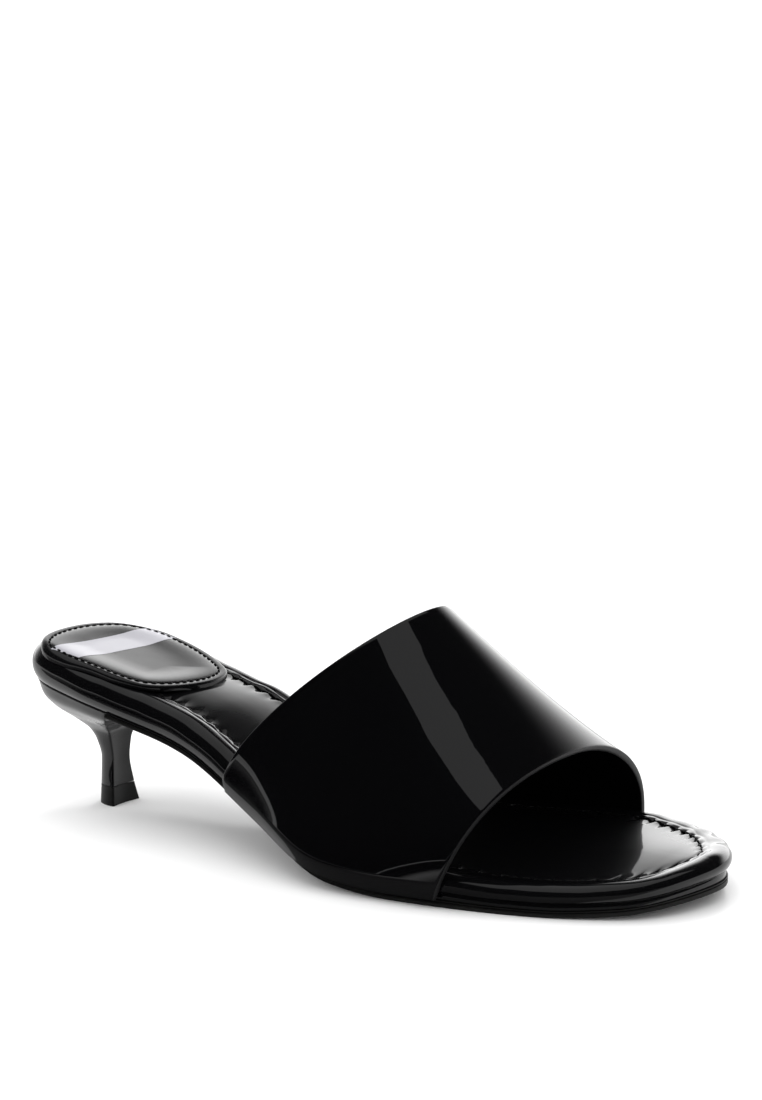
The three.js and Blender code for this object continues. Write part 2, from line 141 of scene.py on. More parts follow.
def even_line(line: Array, steps: int) -> Array:
    """Sets points at even distances along an open line.

    Args:
        line: The line's points, one row each.
        steps: How many steps to cut the line into.

    Returns:
        The new points, one more than the steps.
    """
    length = np.concatenate([[0], np.cumsum(np.linalg.norm(np.diff(line, axis=0), axis=1))])
    at = np.linspace(0, length[-1], steps + 1)
    return np.stack([np.interp(at, length, line[:, k]) for k in range(line.shape[1])], 1)


def soften_ring(ring: Array, reach: float) -> Array:
    """Rounds the corners of an evenly stepped closed ring.

    Args:
        ring: The ring's points, one row each.
        reach: How far, in mm, its bends are evened out.

    Returns:
        The ring's new points.
    """
    count = len(ring)
    spacing = np.linalg.norm(np.roll(ring, -1, 0) - ring, axis=1).mean()
    steps = np.arange(-(count // 2), count - count // 2)
    weights = np.exp(-0.5 * (steps * spacing / reach) ** 2)
    kernel = np.fft.fft(np.fft.ifftshift(weights / weights.sum()))
    columns = [np.fft.ifft(np.fft.fft(ring[:, k]) * kernel).real for k in range(ring.shape[1])]
    return np.stack(columns, 1)


def soften_line(line: Array, reach: float) -> Array:
    """Evens out the bends of an open line of evenly stepped points, with its ends held.

    Args:
        line: The line's points, one row each.
        reach: How far, in mm, its bends are evened out.

    Returns:
        The line's new points.
    """
    before, after = 2 * line[0] - line[:0:-1], 2 * line[-1] - line[-2::-1]
    long_line = np.concatenate([before, line, after])
    spacing = np.linalg.norm(np.diff(line, axis=0), axis=1).mean()
    # the weights are cut off four reaches away
    half = int(4 * reach / spacing)
    weights = np.exp(-0.5 * (np.arange(-half, half + 1) * spacing / reach) ** 2)
    weights /= weights.sum()
    columns = [np.convolve(long_line[:, k], weights, "same") for k in range(line.shape[1])]
    return np.stack(columns, 1)[len(before) : len(before) + len(line)]


class Plan:
    """A closed plan outline with an even step and its inward normals."""

    # points of the curve for each stretch, and blocks in which depths are measured
    SAMPLES = 200
    BLOCKS = 24

    def __init__(self, points: Array, steps: int, soften: float) -> None:
        """Resamples each half from its heel point to its toe point with one step.

        Args:
            points: Points of the outline, near side first, from the heel point.
            steps: Even number of steps round the outline.
            soften: How far, in mm, the curve's bends are evened out.
        """
        self.curve = closed_curve(points, self.SAMPLES)
        toe = int(np.argmax(self.curve[:, 0]))
        halves = (self.curve[: toe + 1], np.concatenate([self.curve[toe:], self.curve[:1]]))
        ring = np.concatenate([even_line(half, steps // 2)[:-1] for half in halves])
        self.steps = steps
        self.ring = soften_ring(ring, soften)
        along = np.roll(self.ring, -1, 0) - np.roll(self.ring, 1, 0)
        along /= np.linalg.norm(along, axis=1)[:, None]
        self.inward = np.stack([-along[:, 1], along[:, 0]], 1)

    def inset(self, distance: Array | float) -> Array:
        """Returns the ring set in by a distance square to it."""
        return self.ring + self.inward * np.reshape(distance, (-1, 1))

    def lengths(self, distance: float) -> Array:
        """Measures along the inset ring.

        Args:
            distance: How far in mm the ring is set in.

        Returns:
            The distance in mm to each of its points, and last the whole length.
        """
        ring = self.inset(distance)
        steps = np.linalg.norm(np.roll(ring, -1, 0) - ring, axis=1)
        return np.concatenate([[0], np.cumsum(steps)])

    def across(self, ring: Array, share: float) -> Array:
        """Returns a ring drawn towards the opposite side: 0 is the ring, 1 its middle line."""
        return mix(ring, ring[(-np.arange(self.steps)) % self.steps], share / 2)

    def cap(self, ring: Array, shares: Sequence[float], height: Callable) -> list[Array]:
        """Covers a ring with rings drawn towards its middle line.

        Args:
            ring: Plan points of the ring.
            shares: How far each ring is drawn in: 0 is the ring, 1 its middle line.
            height: Gives the height in mm at places along the last.

        Returns:
            The rings' points in mm.
        """
        rings = [self.across(ring, share) for share in shares]
        return [np.column_stack([points, height(points[:, 0])]) for points in rings]

    def side(self, x: Array | float, side: Side, distance: float) -> Array:
        """Reads one side of the inset ring.

        Args:
            x: Places along the last in mm.
            side: Side of the foot.
            distance: How far in mm the ring is set in.

        Returns:
            The ring's y at each place.
        """
        ring = self.inset(distance)
        toe = self.steps // 2
        half = ring[: toe + 1] if side is Side.NEAR else np.concatenate([ring[toe:], ring[:1]])[::-1]
        order = np.argsort(half[:, 0])
        return np.interp(x, half[order, 0], half[order, 1])

    def depth(self, points: Array) -> Array:
        """Measures from points inside the outline to the nearest of its own points.

        Args:
            points: Plan points in mm.

        Returns:
            How far inside each of them lies.
        """
        flat = points.reshape(-1, 2)
        nearest = np.full(len(flat), np.inf)
        for part in np.array_split(self.ring, self.BLOCKS):
            gaps = np.linalg.norm(flat[:, None, :] - part[None, :, :], axis=2)
            nearest = np.minimum(nearest, gaps.min(1))
        return nearest.reshape(points.shape[:-1])


@dataclass
class Last:
    """Main sizes, plan outline and side line of the last, shared by every piece."""

    length: float = 245.0
    ball_width: float = 98.0
    heel_height: float = 42.0
    toe_spring: float = 4.2
    clearance: float = 0.3
    # thickness of the outsole, then of the board band that carries the rim
    sole_ball: float = 2.4
    sole_waist: float = 1.3
    sole_seat: float = 0.7
    band_ball: float = 1.9
    band_waist: float = 0.4
    # height of the rim's crest over the sole's underside
    bed_heel: float = 12.2
    bed_toe: float = 11.5
    # the rim's roll, its width in to the seam, and the degrees by which it tucks under
    rim_radius: float = 5.0
    rim_width: float = 8.8
    rim_tuck: float = 50.0
    seam_depth: float = 0.55
    seat_length: float = 41.0
    # share of its thickness that the near side of the toe loses; shares of the length where that
    # begins and is full, and the y in mm where it is full and ends
    press: float = 0.17
    press_along: tuple = (0.66, 0.80)
    press_across: tuple = (-18.0, 16.0)
    steps: int = 1440
    soften: float = 2.5
    # along, near, far: shares of the length and of the ball width
    outline: tuple = (
        (0.022, 0.193, 0.193),
        (0.110, 0.266, 0.297),
        (0.270, 0.283, 0.258),
        (0.420, 0.348, 0.258),
        (0.560, 0.462, 0.342),
        (0.680, 0.450, 0.458),
        (0.800, 0.395, 0.522),
        (0.900, 0.302, 0.432),
        (0.968, 0.178, 0.260),
    )
    toe_tip: tuple = (1.0, 0.085)
    # along, rise of the underside, spring of the toe
    side_line: tuple = (
        (0.00, 1.000, 0.0),
        (0.10, 0.900, 0.0),
        (0.20, 0.790, 0.0),
        (0.30, 0.665, 0.0),
        (0.45, 0.290, 0.0),
        (0.58, 0.042, 0.0),
        (0.67, 0.000, 0.0),
        (0.84, 0.000, 0.0),
        (0.93, 0.000, 0.30),
        (1.00, 0.000, 1.0),
    )
    # along, how far the sole has filled out from the waist to the ball
    fill_out: tuple = ((0.0, 0.0), (0.38, 0.0), (0.62, 1.0), (1.0, 1.0))
    plan: Plan = field(init=False)

    def __post_init__(self) -> None:
        """Runs the plan outline and finds where the CAD part put the heel point."""
        rows = np.array(self.outline)
        near = np.stack([rows[:, 0] * self.length, -rows[:, 1] * self.ball_width], 1)
        far = np.stack([rows[:, 0] * self.length, rows[:, 2] * self.ball_width], 1)[::-1]
        toe = [[self.toe_tip[0] * self.length, self.toe_tip[1] * self.ball_width]]
        points = np.concatenate([[[0, 0]], near, toe, far])
        self.plan = Plan(points, self.steps, self.soften)
        low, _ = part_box("footbed")
        corner = self.plan.curve.min(0)
        self.shift = np.array([low.x / MM - corner[0], low.y / MM - corner[1], 0])
        LOG.info("the last stands at %s mm", self.shift.round(3))

    def _read(self, table: tuple, column: int, x: Array | float) -> Array:
        """Returns a column of a table of shares at x."""
        rows = np.array(table, float)
        return smooth_column(rows[:, 0], rows[:, column], np.asarray(x) / self.length)

    def underside(self, x: Array | float) -> Array:
        """Returns the height of the sole's underside."""
        rise = self._read(self.side_line, 1, x) * self.heel_height
        return rise + self._read(self.side_line, 2, x) * self.toe_spring

    def sole_top(self, x: Array | float) -> Array:
        """Returns the height of the outsole's upper face."""
        waist = mix(self.sole_seat, self.sole_waist, ease(x / self.seat_length))
        return self.underside(x) + mix(waist, self.sole_ball, self._read(self.fill_out, 1, x))

    def bed_bottom(self, x: Array | float) -> Array:
        """Returns the height of the footbed's underside."""
        return self.sole_top(x) + self.clearance

    def band_top(self, x: Array | float) -> Array:
        """Returns the height of the board band's upper edge."""
        return self.bed_bottom(x) + mix(self.band_waist, self.band_ball, self._read(self.fill_out, 1, x))

    def crest(self, x: Array | float) -> Array:
        """Returns the height of the padded rim's crest."""
        return self.underside(x) + mix(self.bed_heel, self.bed_toe, x / self.length)

    def seam(self, x: Array | float) -> Array:
        """Returns the height of the gathered inner seam."""
        return self.crest(x) - self.seam_depth

    def roll(self, x: Array | float) -> Array:
        """Returns the height of the rim's roll from its widest line to its crest."""
        return (self.crest(x) - self.band_top(x)) / (1 + math.sin(math.radians(self.rim_tuck)))

    def rim_height(self, x: Array | float, degrees: float) -> Array:
        """Returns the height of the rim's roll at an angle round it."""
        return self.crest(x) - self.roll(x) * (1 - math.sin(math.radians(degrees)))

    def pressed(self, surface: Array) -> Array:
        """Presses the near side of a surface thinner towards the toe.

        Args:
            surface: Points in mm.

        Returns:
            The points with their new heights.
        """
        x, y, z = surface[..., 0], surface[..., 1], surface[..., 2]
        begins, is_full = self.press_along
        forward = ease((x / self.length - begins) / (is_full - begins))
        full_at, ends = self.press_across
        near = ease((ends - y) / (ends - full_at))
        base = self.underside(x)
        return np.stack([x, y, base + (z - base) * (1 - self.press * forward * near)], -1)

    def rim_fall(self, x: Array, depth: Array) -> Array:
        """Returns how far the rim falls below its crest, at a depth inside the outline."""
        out = np.clip(1 - depth / self.rim_radius, 0, 1)
        return self.roll(x) * (1 - np.sqrt(1 - out**2))


def finish_mesh(name: str, shell: bmesh.types.BMesh, sharp: float = 35.0) -> bpy.types.Object:
    """Closes a shell, turns its faces outwards and makes it a smooth-shaded object.

    Args:
        name: Name of the piece.
        shell: The shell in metres, which is freed.
        sharp: Angle in degrees past which an edge stays crisp.

    Returns:
        The piece's object.
    """
    bmesh.ops.remove_doubles(shell, verts=shell.verts, dist=WELD)
    bmesh.ops.dissolve_degenerate(shell, edges=shell.edges, dist=SLIVER)
    bmesh.ops.recalc_face_normals(shell, faces=shell.faces)
    for face in shell.faces:
        face.smooth = True
    for edge in shell.edges:
        edge.smooth = len(edge.link_faces) < 2 or edge.calc_face_angle(0) < math.radians(sharp)
    mesh = bpy.data.meshes.new(name)
    shell.to_mesh(mesh)
    shell.free()
    piece = bpy.data.objects.new(name, mesh)
    bpy.context.scene.collection.objects.link(piece)
    return piece


def shell_of(name: str, surface: Array, last: Last, zones: Sequence[int] = ()) -> bpy.types.Object:
    """Bends a grid into a shell whose rows are closed rings, and closes its seam and poles.

    Args:
        name: Name of the piece.
        surface: Points in mm, one row for each ring; its first and last rings close the ends.
        last: The last, for the place of the part.
        zones: Material number of each step round a ring, where it has more than one.

    Returns:
        The piece's object.
    """
    rows, columns = surface.shape[:2]
    shell = bmesh.new()
    bmesh.ops.create_grid(shell, x_segments=columns, y_segments=rows - 1, size=0.5)
    if zones:
        for face in shell.faces:
            face.material_index = zones[int((face.calc_center_median().x + 0.5) * columns)]
    points = (surface + last.shift) * MM
    for vert in shell.verts:
        column = round((vert.co.x + 0.5) * columns) % columns
        row = round((vert.co.y + 0.5) * (rows - 1))
        vert.co = points[row, column]
    return finish_mesh(name, shell)


def linear(colour: str) -> tuple[float, float, float, float]:
    """Turns an sRGB colour to linear.

    Args:
        colour: The colour as #rrggbb.

    Returns:
        Its linear red, green and blue, and an alpha of 1.
    """
    parts = [int(colour[i : i + 2], 16) / 255 for i in (1, 3, 5)]
    values = [c / 12.92 if c <= 0.04045 else ((c + 0.055) / 1.055) ** 2.4 for c in parts]
    return (values[0], values[1], values[2], 1.0)


def add_node(tree: bpy.types.NodeTree, kind: str, settings: dict, links: dict) -> bpy.types.Node:
    """Adds one node with its settings and its links.

    Args:
        tree: The node tree of a material or the world.
        kind: The node's type name.
        settings: Values by attribute or by input, which is named or numbered.
        links: Output sockets by the input that they feed.

    Returns:
        The new node.
    """
    node = tree.nodes.new(kind)
    for name, value in settings.items():
        if isinstance(name, int) or name in node.inputs:
            node.inputs[name].default_value = value
        else:
            setattr(node, name, value)
    for name, output in links.items():
        tree.links.new(output, node.inputs[name])
    return node


@dataclass(frozen=True)
class Finish:
    """One finish: a coloured body under an optional lacquer, both gently uneven."""

    name: str
    colour: str
    roughness: float
    specular: float = 0.5
    coat: float = 0.0
    coat_roughness: float = 0.03
    metallic: float = 0.0
    # size and depth in mm of the slow ripple, then of the fine grain
    ripple: tuple = (20.0, 0.0)
    grain: tuple = (0.5, 0.0)
    # second shade that the body drifts to, and the size of its patches in mm
    drift: str = ""
    drift_mm: float = 6.0

    def build(self) -> bpy.types.Material:
        """Builds the finish's material.

        Returns:
            The new material.
        """
        material = bpy.data.materials.new(self.name)
        material.use_nodes = True
        tree = material.node_tree
        shader = tree.nodes["Principled BSDF"]
        values = {
            "Base Color": linear(self.colour),
            "Roughness": self.roughness,
            "Specular IOR Level": self.specular,
            "Coat Weight": self.coat,
            "Coat Roughness": self.coat_roughness,
            "Metallic": self.metallic,
        }
        for socket, value in values.items():
            shader.inputs[socket].default_value = value
        place = add_node(tree, "ShaderNodeTexCoord", {}, {}).outputs["Object"]
        if self.drift:
            scale = {"Scale": 1 / (self.drift_mm * MM), "Detail": 3.0}
            patches = add_node(tree, "ShaderNodeTexNoise", scale, {"Vector": place})
            shades = {"data_type": "RGBA", 6: linear(self.colour), 7: linear(self.drift)}
            shade = add_node(tree, "ShaderNodeMix", shades, {0: patches.outputs["Fac"]})
            tree.links.new(shade.outputs[2], shader.inputs["Base Color"])
        normal = None
        for size, depth in (self.ripple, self.grain):
            if not depth:
                continue
            scale = {"Scale": 1 / (size * MM), "Detail": 1.0}
            noise = add_node(tree, "ShaderNodeTexNoise", scale, {"Vector": place})
            links = {"Height": noise.outputs["Fac"]}
            if normal is not None:
                links["Normal"] = normal
            depths = {"Strength": 1.0, "Distance": depth * MM}
            normal = add_node(tree, "ShaderNodeBump", depths, links).outputs["Normal"]
        if normal is not None:
            tree.links.new(normal, shader.inputs["Normal"])
            tree.links.new(normal, shader.inputs["Coat Normal"])
        return material


# Grains of 0.5 and 0.6 mm stand for finer grit, fibre and twist, drawn coarse enough to show.

# Corrected-grain leather under a poured lacquer: a black mirror with a slow, faint ripple.
PATENT_BAND = Finish(
    "patent_leather_lacquered",
    "#030304",
    roughness=0.32,
    specular=0.02,
    coat=1.0,
    coat_roughness=0.022,
    ripple=(30.0, 0.10),
    grain=(2.2, 0.0015),
)
# The same leather drawn over foam: a little more ripple, and softer highlights.
PATENT_RIM = Finish(
    "patent_leather_over_foam",
    "#040405",
    roughness=0.34,
    specular=0.03,
    coat=1.0,
    coat_roughness=0.035,
    ripple=(11.0, 0.05),
    grain=(1.6, 0.003),
)
# Patent leather glued over thin foam on its board: a hazier mirror with a soft, broad sheen.
PATENT_PANEL = Finish(
    "patent_leather_on_board",
    "#050506",
    roughness=0.36,
    specular=0.05,
    coat=0.72,
    coat_roughness=0.06,
    ripple=(14.0, 0.06),
    grain=(1.6, 0.004),
)
# Painted and buffed board edge: dull black with fine grit.
PAINTED_EDGE = Finish(
    "sole_edge_painted",
    "#090909",
    roughness=0.46,
    specular=0.2,
    ripple=(9.0, 0.03),
    grain=(0.5, 0.02),
    drift="#151514",
)
# Heel block wrapped in lacquered leather: glossy, with softer highlights than the band.
WRAPPED_HEEL = Finish(
    "heel_cover_lacquered",
    "#040405",
    roughness=0.3,
    specular=0.05,
    coat=0.7,
    coat_roughness=0.07,
    ripple=(12.0, 0.05),
    grain=(1.5, 0.002),
)
# Moulded polyurethane top piece: satin black, no coat.
TOP_LIFT = Finish(
    "polyurethane_moulded", "#070708", roughness=0.42, specular=0.25, grain=(0.6, 0.01), drift="#0c0c0c"
)
# Cut edge of the band, dyed and burnished: dull dark grey, a little uneven.
CUT_EDGE = Finish(
    "leather_edge_dyed",
    "#141415",
    roughness=0.45,
    specular=0.4,
    ripple=(3.0, 0.06),
    grain=(0.6, 0.03),
    drift="#1c1c1d",
)
# Brushed microfibre lining of the band: matt black that swallows light.
LINING = Finish("lining_microfibre", "#020202", roughness=0.9, specular=0.05, grain=(0.5, 0.05))
# Bonded polyester thread, waxed: dull black.
THREAD = Finish("polyester_thread_waxed", "#040404", roughness=0.5, specular=0.2, grain=(0.5, 0.05))
# Hot-pressed foil band on the heel pad: a pale silver-grey film with a satin sheen.
FOIL = Finish(
    "foil_hot_pressed",
    "#b2b1b8",
    roughness=0.4,
    coat=0.4,
    coat_roughness=0.12,
    metallic=0.2,
    ripple=(14.0, 0.06),
    drift="#a8a7ae",
    drift_mm=9.0,
)
# Seamless matt paper under the shoe: an even white without highlights.
PAPER = Finish("paper_sweep_matt", "#f6f6f6", roughness=0.9, specular=0.1)
# Matt card that the gloss alone sees: painted shade in the reflections, keeping the near side of the band
# deep black.
PAINTED_SHADE_CARD = Finish("card_painted_reflection_shade", "#000000", roughness=1.0, specular=0.0)


@cache
def material_of(finish: Finish) -> bpy.types.Material:
    """Returns the finish's material, made once."""
    return finish.build()


def dress(
    piece: bpy.types.Object, finishes: Sequence[Finish], node: str | None = None
) -> bpy.types.Object:
    """Gives a piece its materials and its body, and hides the CAD node it stands for.

    Args:
        piece: The piece's object.
        finishes: One finish for each material number of its faces.
        node: The CAD node that the piece replaces, if any.

    Returns:
        The same piece.
    """
    for finish in finishes:
        piece.data.materials.append(material_of(finish))
    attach(piece, "root")
    if node:
        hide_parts(node)
    return piece


@dataclass(frozen=True)
class Stitching:
    """A row of sunken running stitches: one short waxed bead of thread after another."""

    pitch: float
    length: float
    width: float
    sides: int = 8
    rings: int = 6

    def sew(self, name: str, ring: Array, last: Last, slot: str) -> bpy.types.Object:
        """Sews the row round a closed path and dresses it in thread.

        Args:
            name: Name of the piece.
            ring: Points of the thread's middle in mm, one row each.
            last: The last, for the place of the part.
            slot: Not used.

        Returns:
            The joined stitches.
        """
        path = np.concatenate([ring, ring[:1]])
        total = np.linalg.norm(np.diff(path, axis=0), axis=1).sum()
        count = int(total / self.pitch)
        marks = even_line(path, 2 * count)
        size = Matrix.Diagonal((self.length * MM, self.width * MM, self.width * MM, 1))
        shell = bmesh.new()
        for k in range(count):
            start, middle, end = marks[2 * k : 2 * k + 3]
            turn = Vector(end - start).normalized().to_track_quat("X", "Z").to_matrix().to_4x4()
            bead = Matrix.Translation(Vector((middle + last.shift) * MM)) @ turn @ size
            bmesh.ops.create_uvsphere(
                shell, u_segments=self.sides, v_segments=self.rings, radius=0.5, matrix=bead
            )
        return dress(finish_mesh(name, shell, sharp=180), [THREAD])


@dataclass
class Gathers:
    """Leather pinched by the inner seam: one small tent between two stitches."""

    last: Last
    pitch: float = 5.8
    depth: float = 1.3
    seed: int = 7
    # how far a stitch hole strays, as a share of the pitch, and the ranges of the tents' heights
    # and of how far each leans along the seam
    stray: float = 0.14
    heights: tuple = (0.55, 1.3)
    leans: tuple = (0.75, 1.35)
    # how pointed a tent is, and the share of it that lies below the seam's level
    point: float = 0.8
    sunk: float = 0.5
    # how far in mm the tents reach into the panel, and how quickly they end there
    reach: float = 2.3
    ending: float = 1.5
    height: Array = field(init=False)

    def __post_init__(self) -> None:
        """Works out how high the leather stands along the seam."""
        lengths = self.last.plan.lengths(self.last.rim_width)
        total, along = lengths[-1], lengths[:-1]
        rng = np.random.default_rng(self.seed)
        count = int(round(total / self.pitch))
        holes = (np.arange(count) + rng.uniform(-self.stray, self.stray, count)) * total / count
        draws = [rng.uniform(*span, count) for span in (self.heights, self.leans)]
        holes = np.concatenate([[holes[-1] - total], holes, [holes[0] + total]])
        heights, lean = (np.concatenate([[v[-1]], v, [v[0]]]) for v in draws)
        i = np.clip(np.searchsorted(holes, along, side="right") - 1, 0, len(holes) - 2)
        t = (along - holes[i]) / (holes[i + 1] - holes[i])
        tent = np.abs(np.sin(math.pi * t ** lean[i])) ** self.point
        self.height = self.depth * heights[i] * (tent - self.sunk)

    def inside(self, distance: Array) -> Array:
        """Returns how high the leather stands at a distance in from the seam."""
        return self.height * np.exp(-((distance / self.reach) ** self.ending))


@dataclass
class Footbed:
    """Padded rim over a board band, gathered along its inner seam."""

    last: Last
    gathers: Gathers
    # how far the board band lies in from the rim's widest line, the height of its rounded shoulder,
    # and how far the hidden top under the panel lies below the seam
    band_inset: float = 1.7
    shoulder: float = 0.2
    hollow: float = 2.4
    cap_rings: int = 9
    roll_rings: int = 24
    slope_rings: int = 16
    slope_start: float = 0.06
    seed: int = 11
    # pitch and height in mm of the rim's soft ripples
    ripples: tuple = ((13.7, 0.035), (21.3, 0.05), (8.3, 0.02))
    # where along the last, on which side, over what reach, with what pitch and height
    wrinkles: tuple = (
        (0.90, Side.FAR, 26.0, 13.0, 0.17),
        (0.32, Side.NEAR, 34.0, 17.0, 0.13),
        (0.30, Side.FAR, 40.0, 15.0, 0.12),
    )
    # y in mm that parts the sides, and the range in radians of the wrinkles' phase
    middle: float = 4.0
    phases: float = 6.0
    # angle round the roll where the foam swells most, and its shares out, up and on the slope
    swell_angle: float = 50.0
    swell_out: float = 0.6
    swell_up: float = 0.8
    swell_slope: float = 0.33
    # crease beside the seam in mm: its inset, how far that wanders in waves of what lengths, its
    # depth and half its width; then how uneven the depth is, and by how many steps that lags
    crease_inset: float = 6.7
    crease_wander: float = 0.45
    crease_waves: tuple = (19.0, 31.0, 12.0)
    crease_depth: float = 0.2
    crease_width: float = 0.55
    crease_uneven: float = 0.7
    crease_lag: int = 90
    # how far in mm the thread pulls the leather down, and from which share of the slope on
    pull_depth: float = 0.25
    pull_start: float = 0.3
    # shares of the tents' height that lift the slope and that push it inwards
    tent_lift: float = 0.5
    tent_push: float = 0.12

    def swell(self) -> Array:
        """Works out how far the foam pushes the rim out.

        Returns:
            The push in mm at each step round the last.
        """
        plan, last = self.last.plan, self.last
        along = plan.lengths(0)[:-1]
        rng = np.random.default_rng(self.seed)
        total = sum(
            np.sin(2 * math.pi * (along / pitch + rng.uniform())) * size for pitch, size in self.ripples
        )
        for share, side, reach, pitch, size in self.wrinkles:
            on_side = np.sign(plan.ring[:, 1] - self.middle) == side.value
            weight = hill(plan.ring[:, 0], share * last.length, reach) * on_side
            total += np.sin(2 * math.pi * along / pitch + rng.uniform(0, self.phases)) * size * weight
        return total

    def crease(self) -> tuple[Array, Array]:
        """Works out the crease that runs beside the seam.

        Returns:
            Its inset and its depth in mm at each step round the last.
        """
        rng = np.random.default_rng(self.seed + 1)
        along = self.last.plan.lengths(0)[:-1]
        waves = [np.sin(2 * math.pi * (along / wave + rng.uniform())) for wave in self.crease_waves]
        wander = sum(waves) / len(waves)
        uneven = 1 + self.crease_uneven * np.roll(wander, self.crease_lag)
        return self.crease_inset + self.crease_wander * wander, self.crease_depth * uneven

    def underside(self) -> list[Array]:
        """Builds the underside and the board band.

        Returns:
            Their rings, from the middle out and up to the band's shoulder.
        """
        last = self.last
        bottom = last.plan.inset(self.band_inset)
        rows = last.plan.cap(bottom, np.linspace(1, 0, self.cap_rings), last.bed_bottom)
        return rows + [np.column_stack([bottom, last.band_top(bottom[:, 0]) - self.shoulder])]

    def roll(self, swell: Array) -> list[Array]:
        """Builds the padded roll of the rim.

        Args:
            swell: How far the foam pushes it out at each step.

        Returns:
            Its rings, from its tuck over the band up to its crest.
        """
        last = self.last
        rows = []
        for degrees in np.linspace(-last.rim_tuck, 90, self.roll_rings):
            turn = math.radians(degrees)
            push = swell * math.cos(turn - math.radians(self.swell_angle)) ** 2
            inset = last.rim_radius * (1 - math.cos(turn)) - push * self.swell_out
            points = last.plan.inset(inset)
            height = last.rim_height(points[:, 0], degrees) + push * self.swell_up
            rows.append(np.column_stack([points, height]))
        return rows

    def slope(self, swell: Array) -> list[Array]:
        """Builds the rim's inner slope with its crease and the tents of its gathers.

        Args:
            swell: How far the foam pushes it out at each step.

        Returns:
            Its rings, from the crest in to the seam.
        """
        last, tents = self.last, self.gathers.height
        crease_at, crease_depth = self.crease()
        rows = []
        for share in np.linspace(self.slope_start, 1, self.slope_rings):
            turn = math.radians(90 * share)
            inset = last.rim_radius + (last.rim_width - last.rim_radius) * math.sin(turn)
            pull = ease((share - self.pull_start) / (1 - self.pull_start))
            crease = crease_depth * hill(inset, crease_at, self.crease_width)
            drop = last.seam_depth * (1 - math.cos(turn)) + self.pull_depth * pull + crease
            lift = swell * self.swell_slope + tents * self.tent_lift * pull
            points = last.plan.inset(inset + tents * self.tent_push * pull)
            rows.append(np.column_stack([points, last.crest(points[:, 0]) - drop + lift]))
        return rows

    def build(self) -> list[bpy.types.Object]:
        """Builds and dresses the footbed.

        Returns:
            Its object.
        """
        last, swell = self.last, self.swell()
        rows = self.underside() + self.roll(swell) + self.slope(swell)
        shares = np.linspace(0, 1, self.cap_rings)
        rows += last.plan.cap(last.plan.inset(last.rim_width), shares, lambda x: last.seam(x) - self.hollow)
        piece = shell_of("padded_footbed", last.pressed(np.array(rows)), last)
        dress(piece, [PATENT_RIM], "footbed")
        return [piece]


@dataclass
class InsolePanel:
    """Patent panel inside the gathered seam, with the seam's running stitches."""

    last: Last
    gathers: Gathers
    edge_inset: float = 0.2
    # how far its edge lies under the seam, how far and over what reach it rises there, and the
    # share of the tents that the edge and the stitches take
    edge_sink: float = 0.9
    edge_rise: float = 0.5
    edge_round: float = 1.2
    edge_tents: float = 0.5
    # crown of its padding at the heel and at the toe, and the half width below which it flattens
    rise_heel: float = 2.2
    rise_toe: float = 1.9
    round_off: float = 16.0
    # how far its underside lies below the seam, and a half width that is never nought
    underside: float = 1.6
    least_half: float = 1e-6
    # distances in from the panel's edge of its rings, in mm
    rings: tuple = (0, 0.2, 0.4, 0.7, 1.1, 1.6, 2.2, 3.0, 4.0, 5.2, 6.8, 8.8, 11.5, 15, 20, 27, 60)
    # the seam's stitches, and how far in from the seam and below it they run
    stitching: Stitching = Stitching(pitch=3.2, length=2.2, width=0.8)
    stitch_inset: float = 0.1
    stitch_sink: float = 0.3

    def top(self) -> list[Array]:
        """Builds the crowned top face.

        Returns:
            Its rings, from its edge in to its middle line.
        """
        last, plan = self.last, self.last.plan
        edge = plan.inset(last.rim_width - self.edge_inset)
        middle = plan.across(edge, 1.0)
        half = np.maximum(np.linalg.norm(edge - middle, axis=1), self.least_half)
        last_ring = len(self.rings) - 1
        rows = []
        for index, distance in enumerate(self.rings):
            share = np.minimum(distance / half, index / last_ring)
            share = np.where(index == last_ring, 1.0, share)
            points = mix(edge, middle, share[:, None])
            inside = share * half
            rise = mix(self.rise_heel, self.rise_toe, points[:, 0] / last.length)
            arch = rise * (1 - np.exp(-half / self.round_off)) * share * (2 - share)
            crown = self.edge_rise * (1 - np.exp(-inside / self.edge_round)) + arch
            tent = self.gathers.inside(inside) * (1 if index else self.edge_tents)
            height = last.seam(points[:, 0]) - self.edge_sink + crown + tent
            rows.append(np.column_stack([points, height]))
        return rows

    def build(self) -> list[bpy.types.Object]:
        """Builds and dresses the panel and its stitches.

        Returns:
            Their objects.
        """
        last = self.last
        top = self.top()
        below = [np.column_stack([row[:, :2], last.seam(row[:, 0]) - self.underside]) for row in top]
        panel = shell_of("insole_panel_patent", last.pressed(np.array(below + top[::-1])), last)
        dress(panel, [PATENT_PANEL], "insole_panel")
        path = last.plan.inset(last.rim_width + self.stitch_inset)
        height = last.seam(path[:, 0]) - self.stitch_sink + self.gathers.height * self.edge_tents
        path = last.pressed(np.column_stack([path, height]))
        return [panel, self.stitching.sew("seam_stitches", path, last, "rim_patent")]


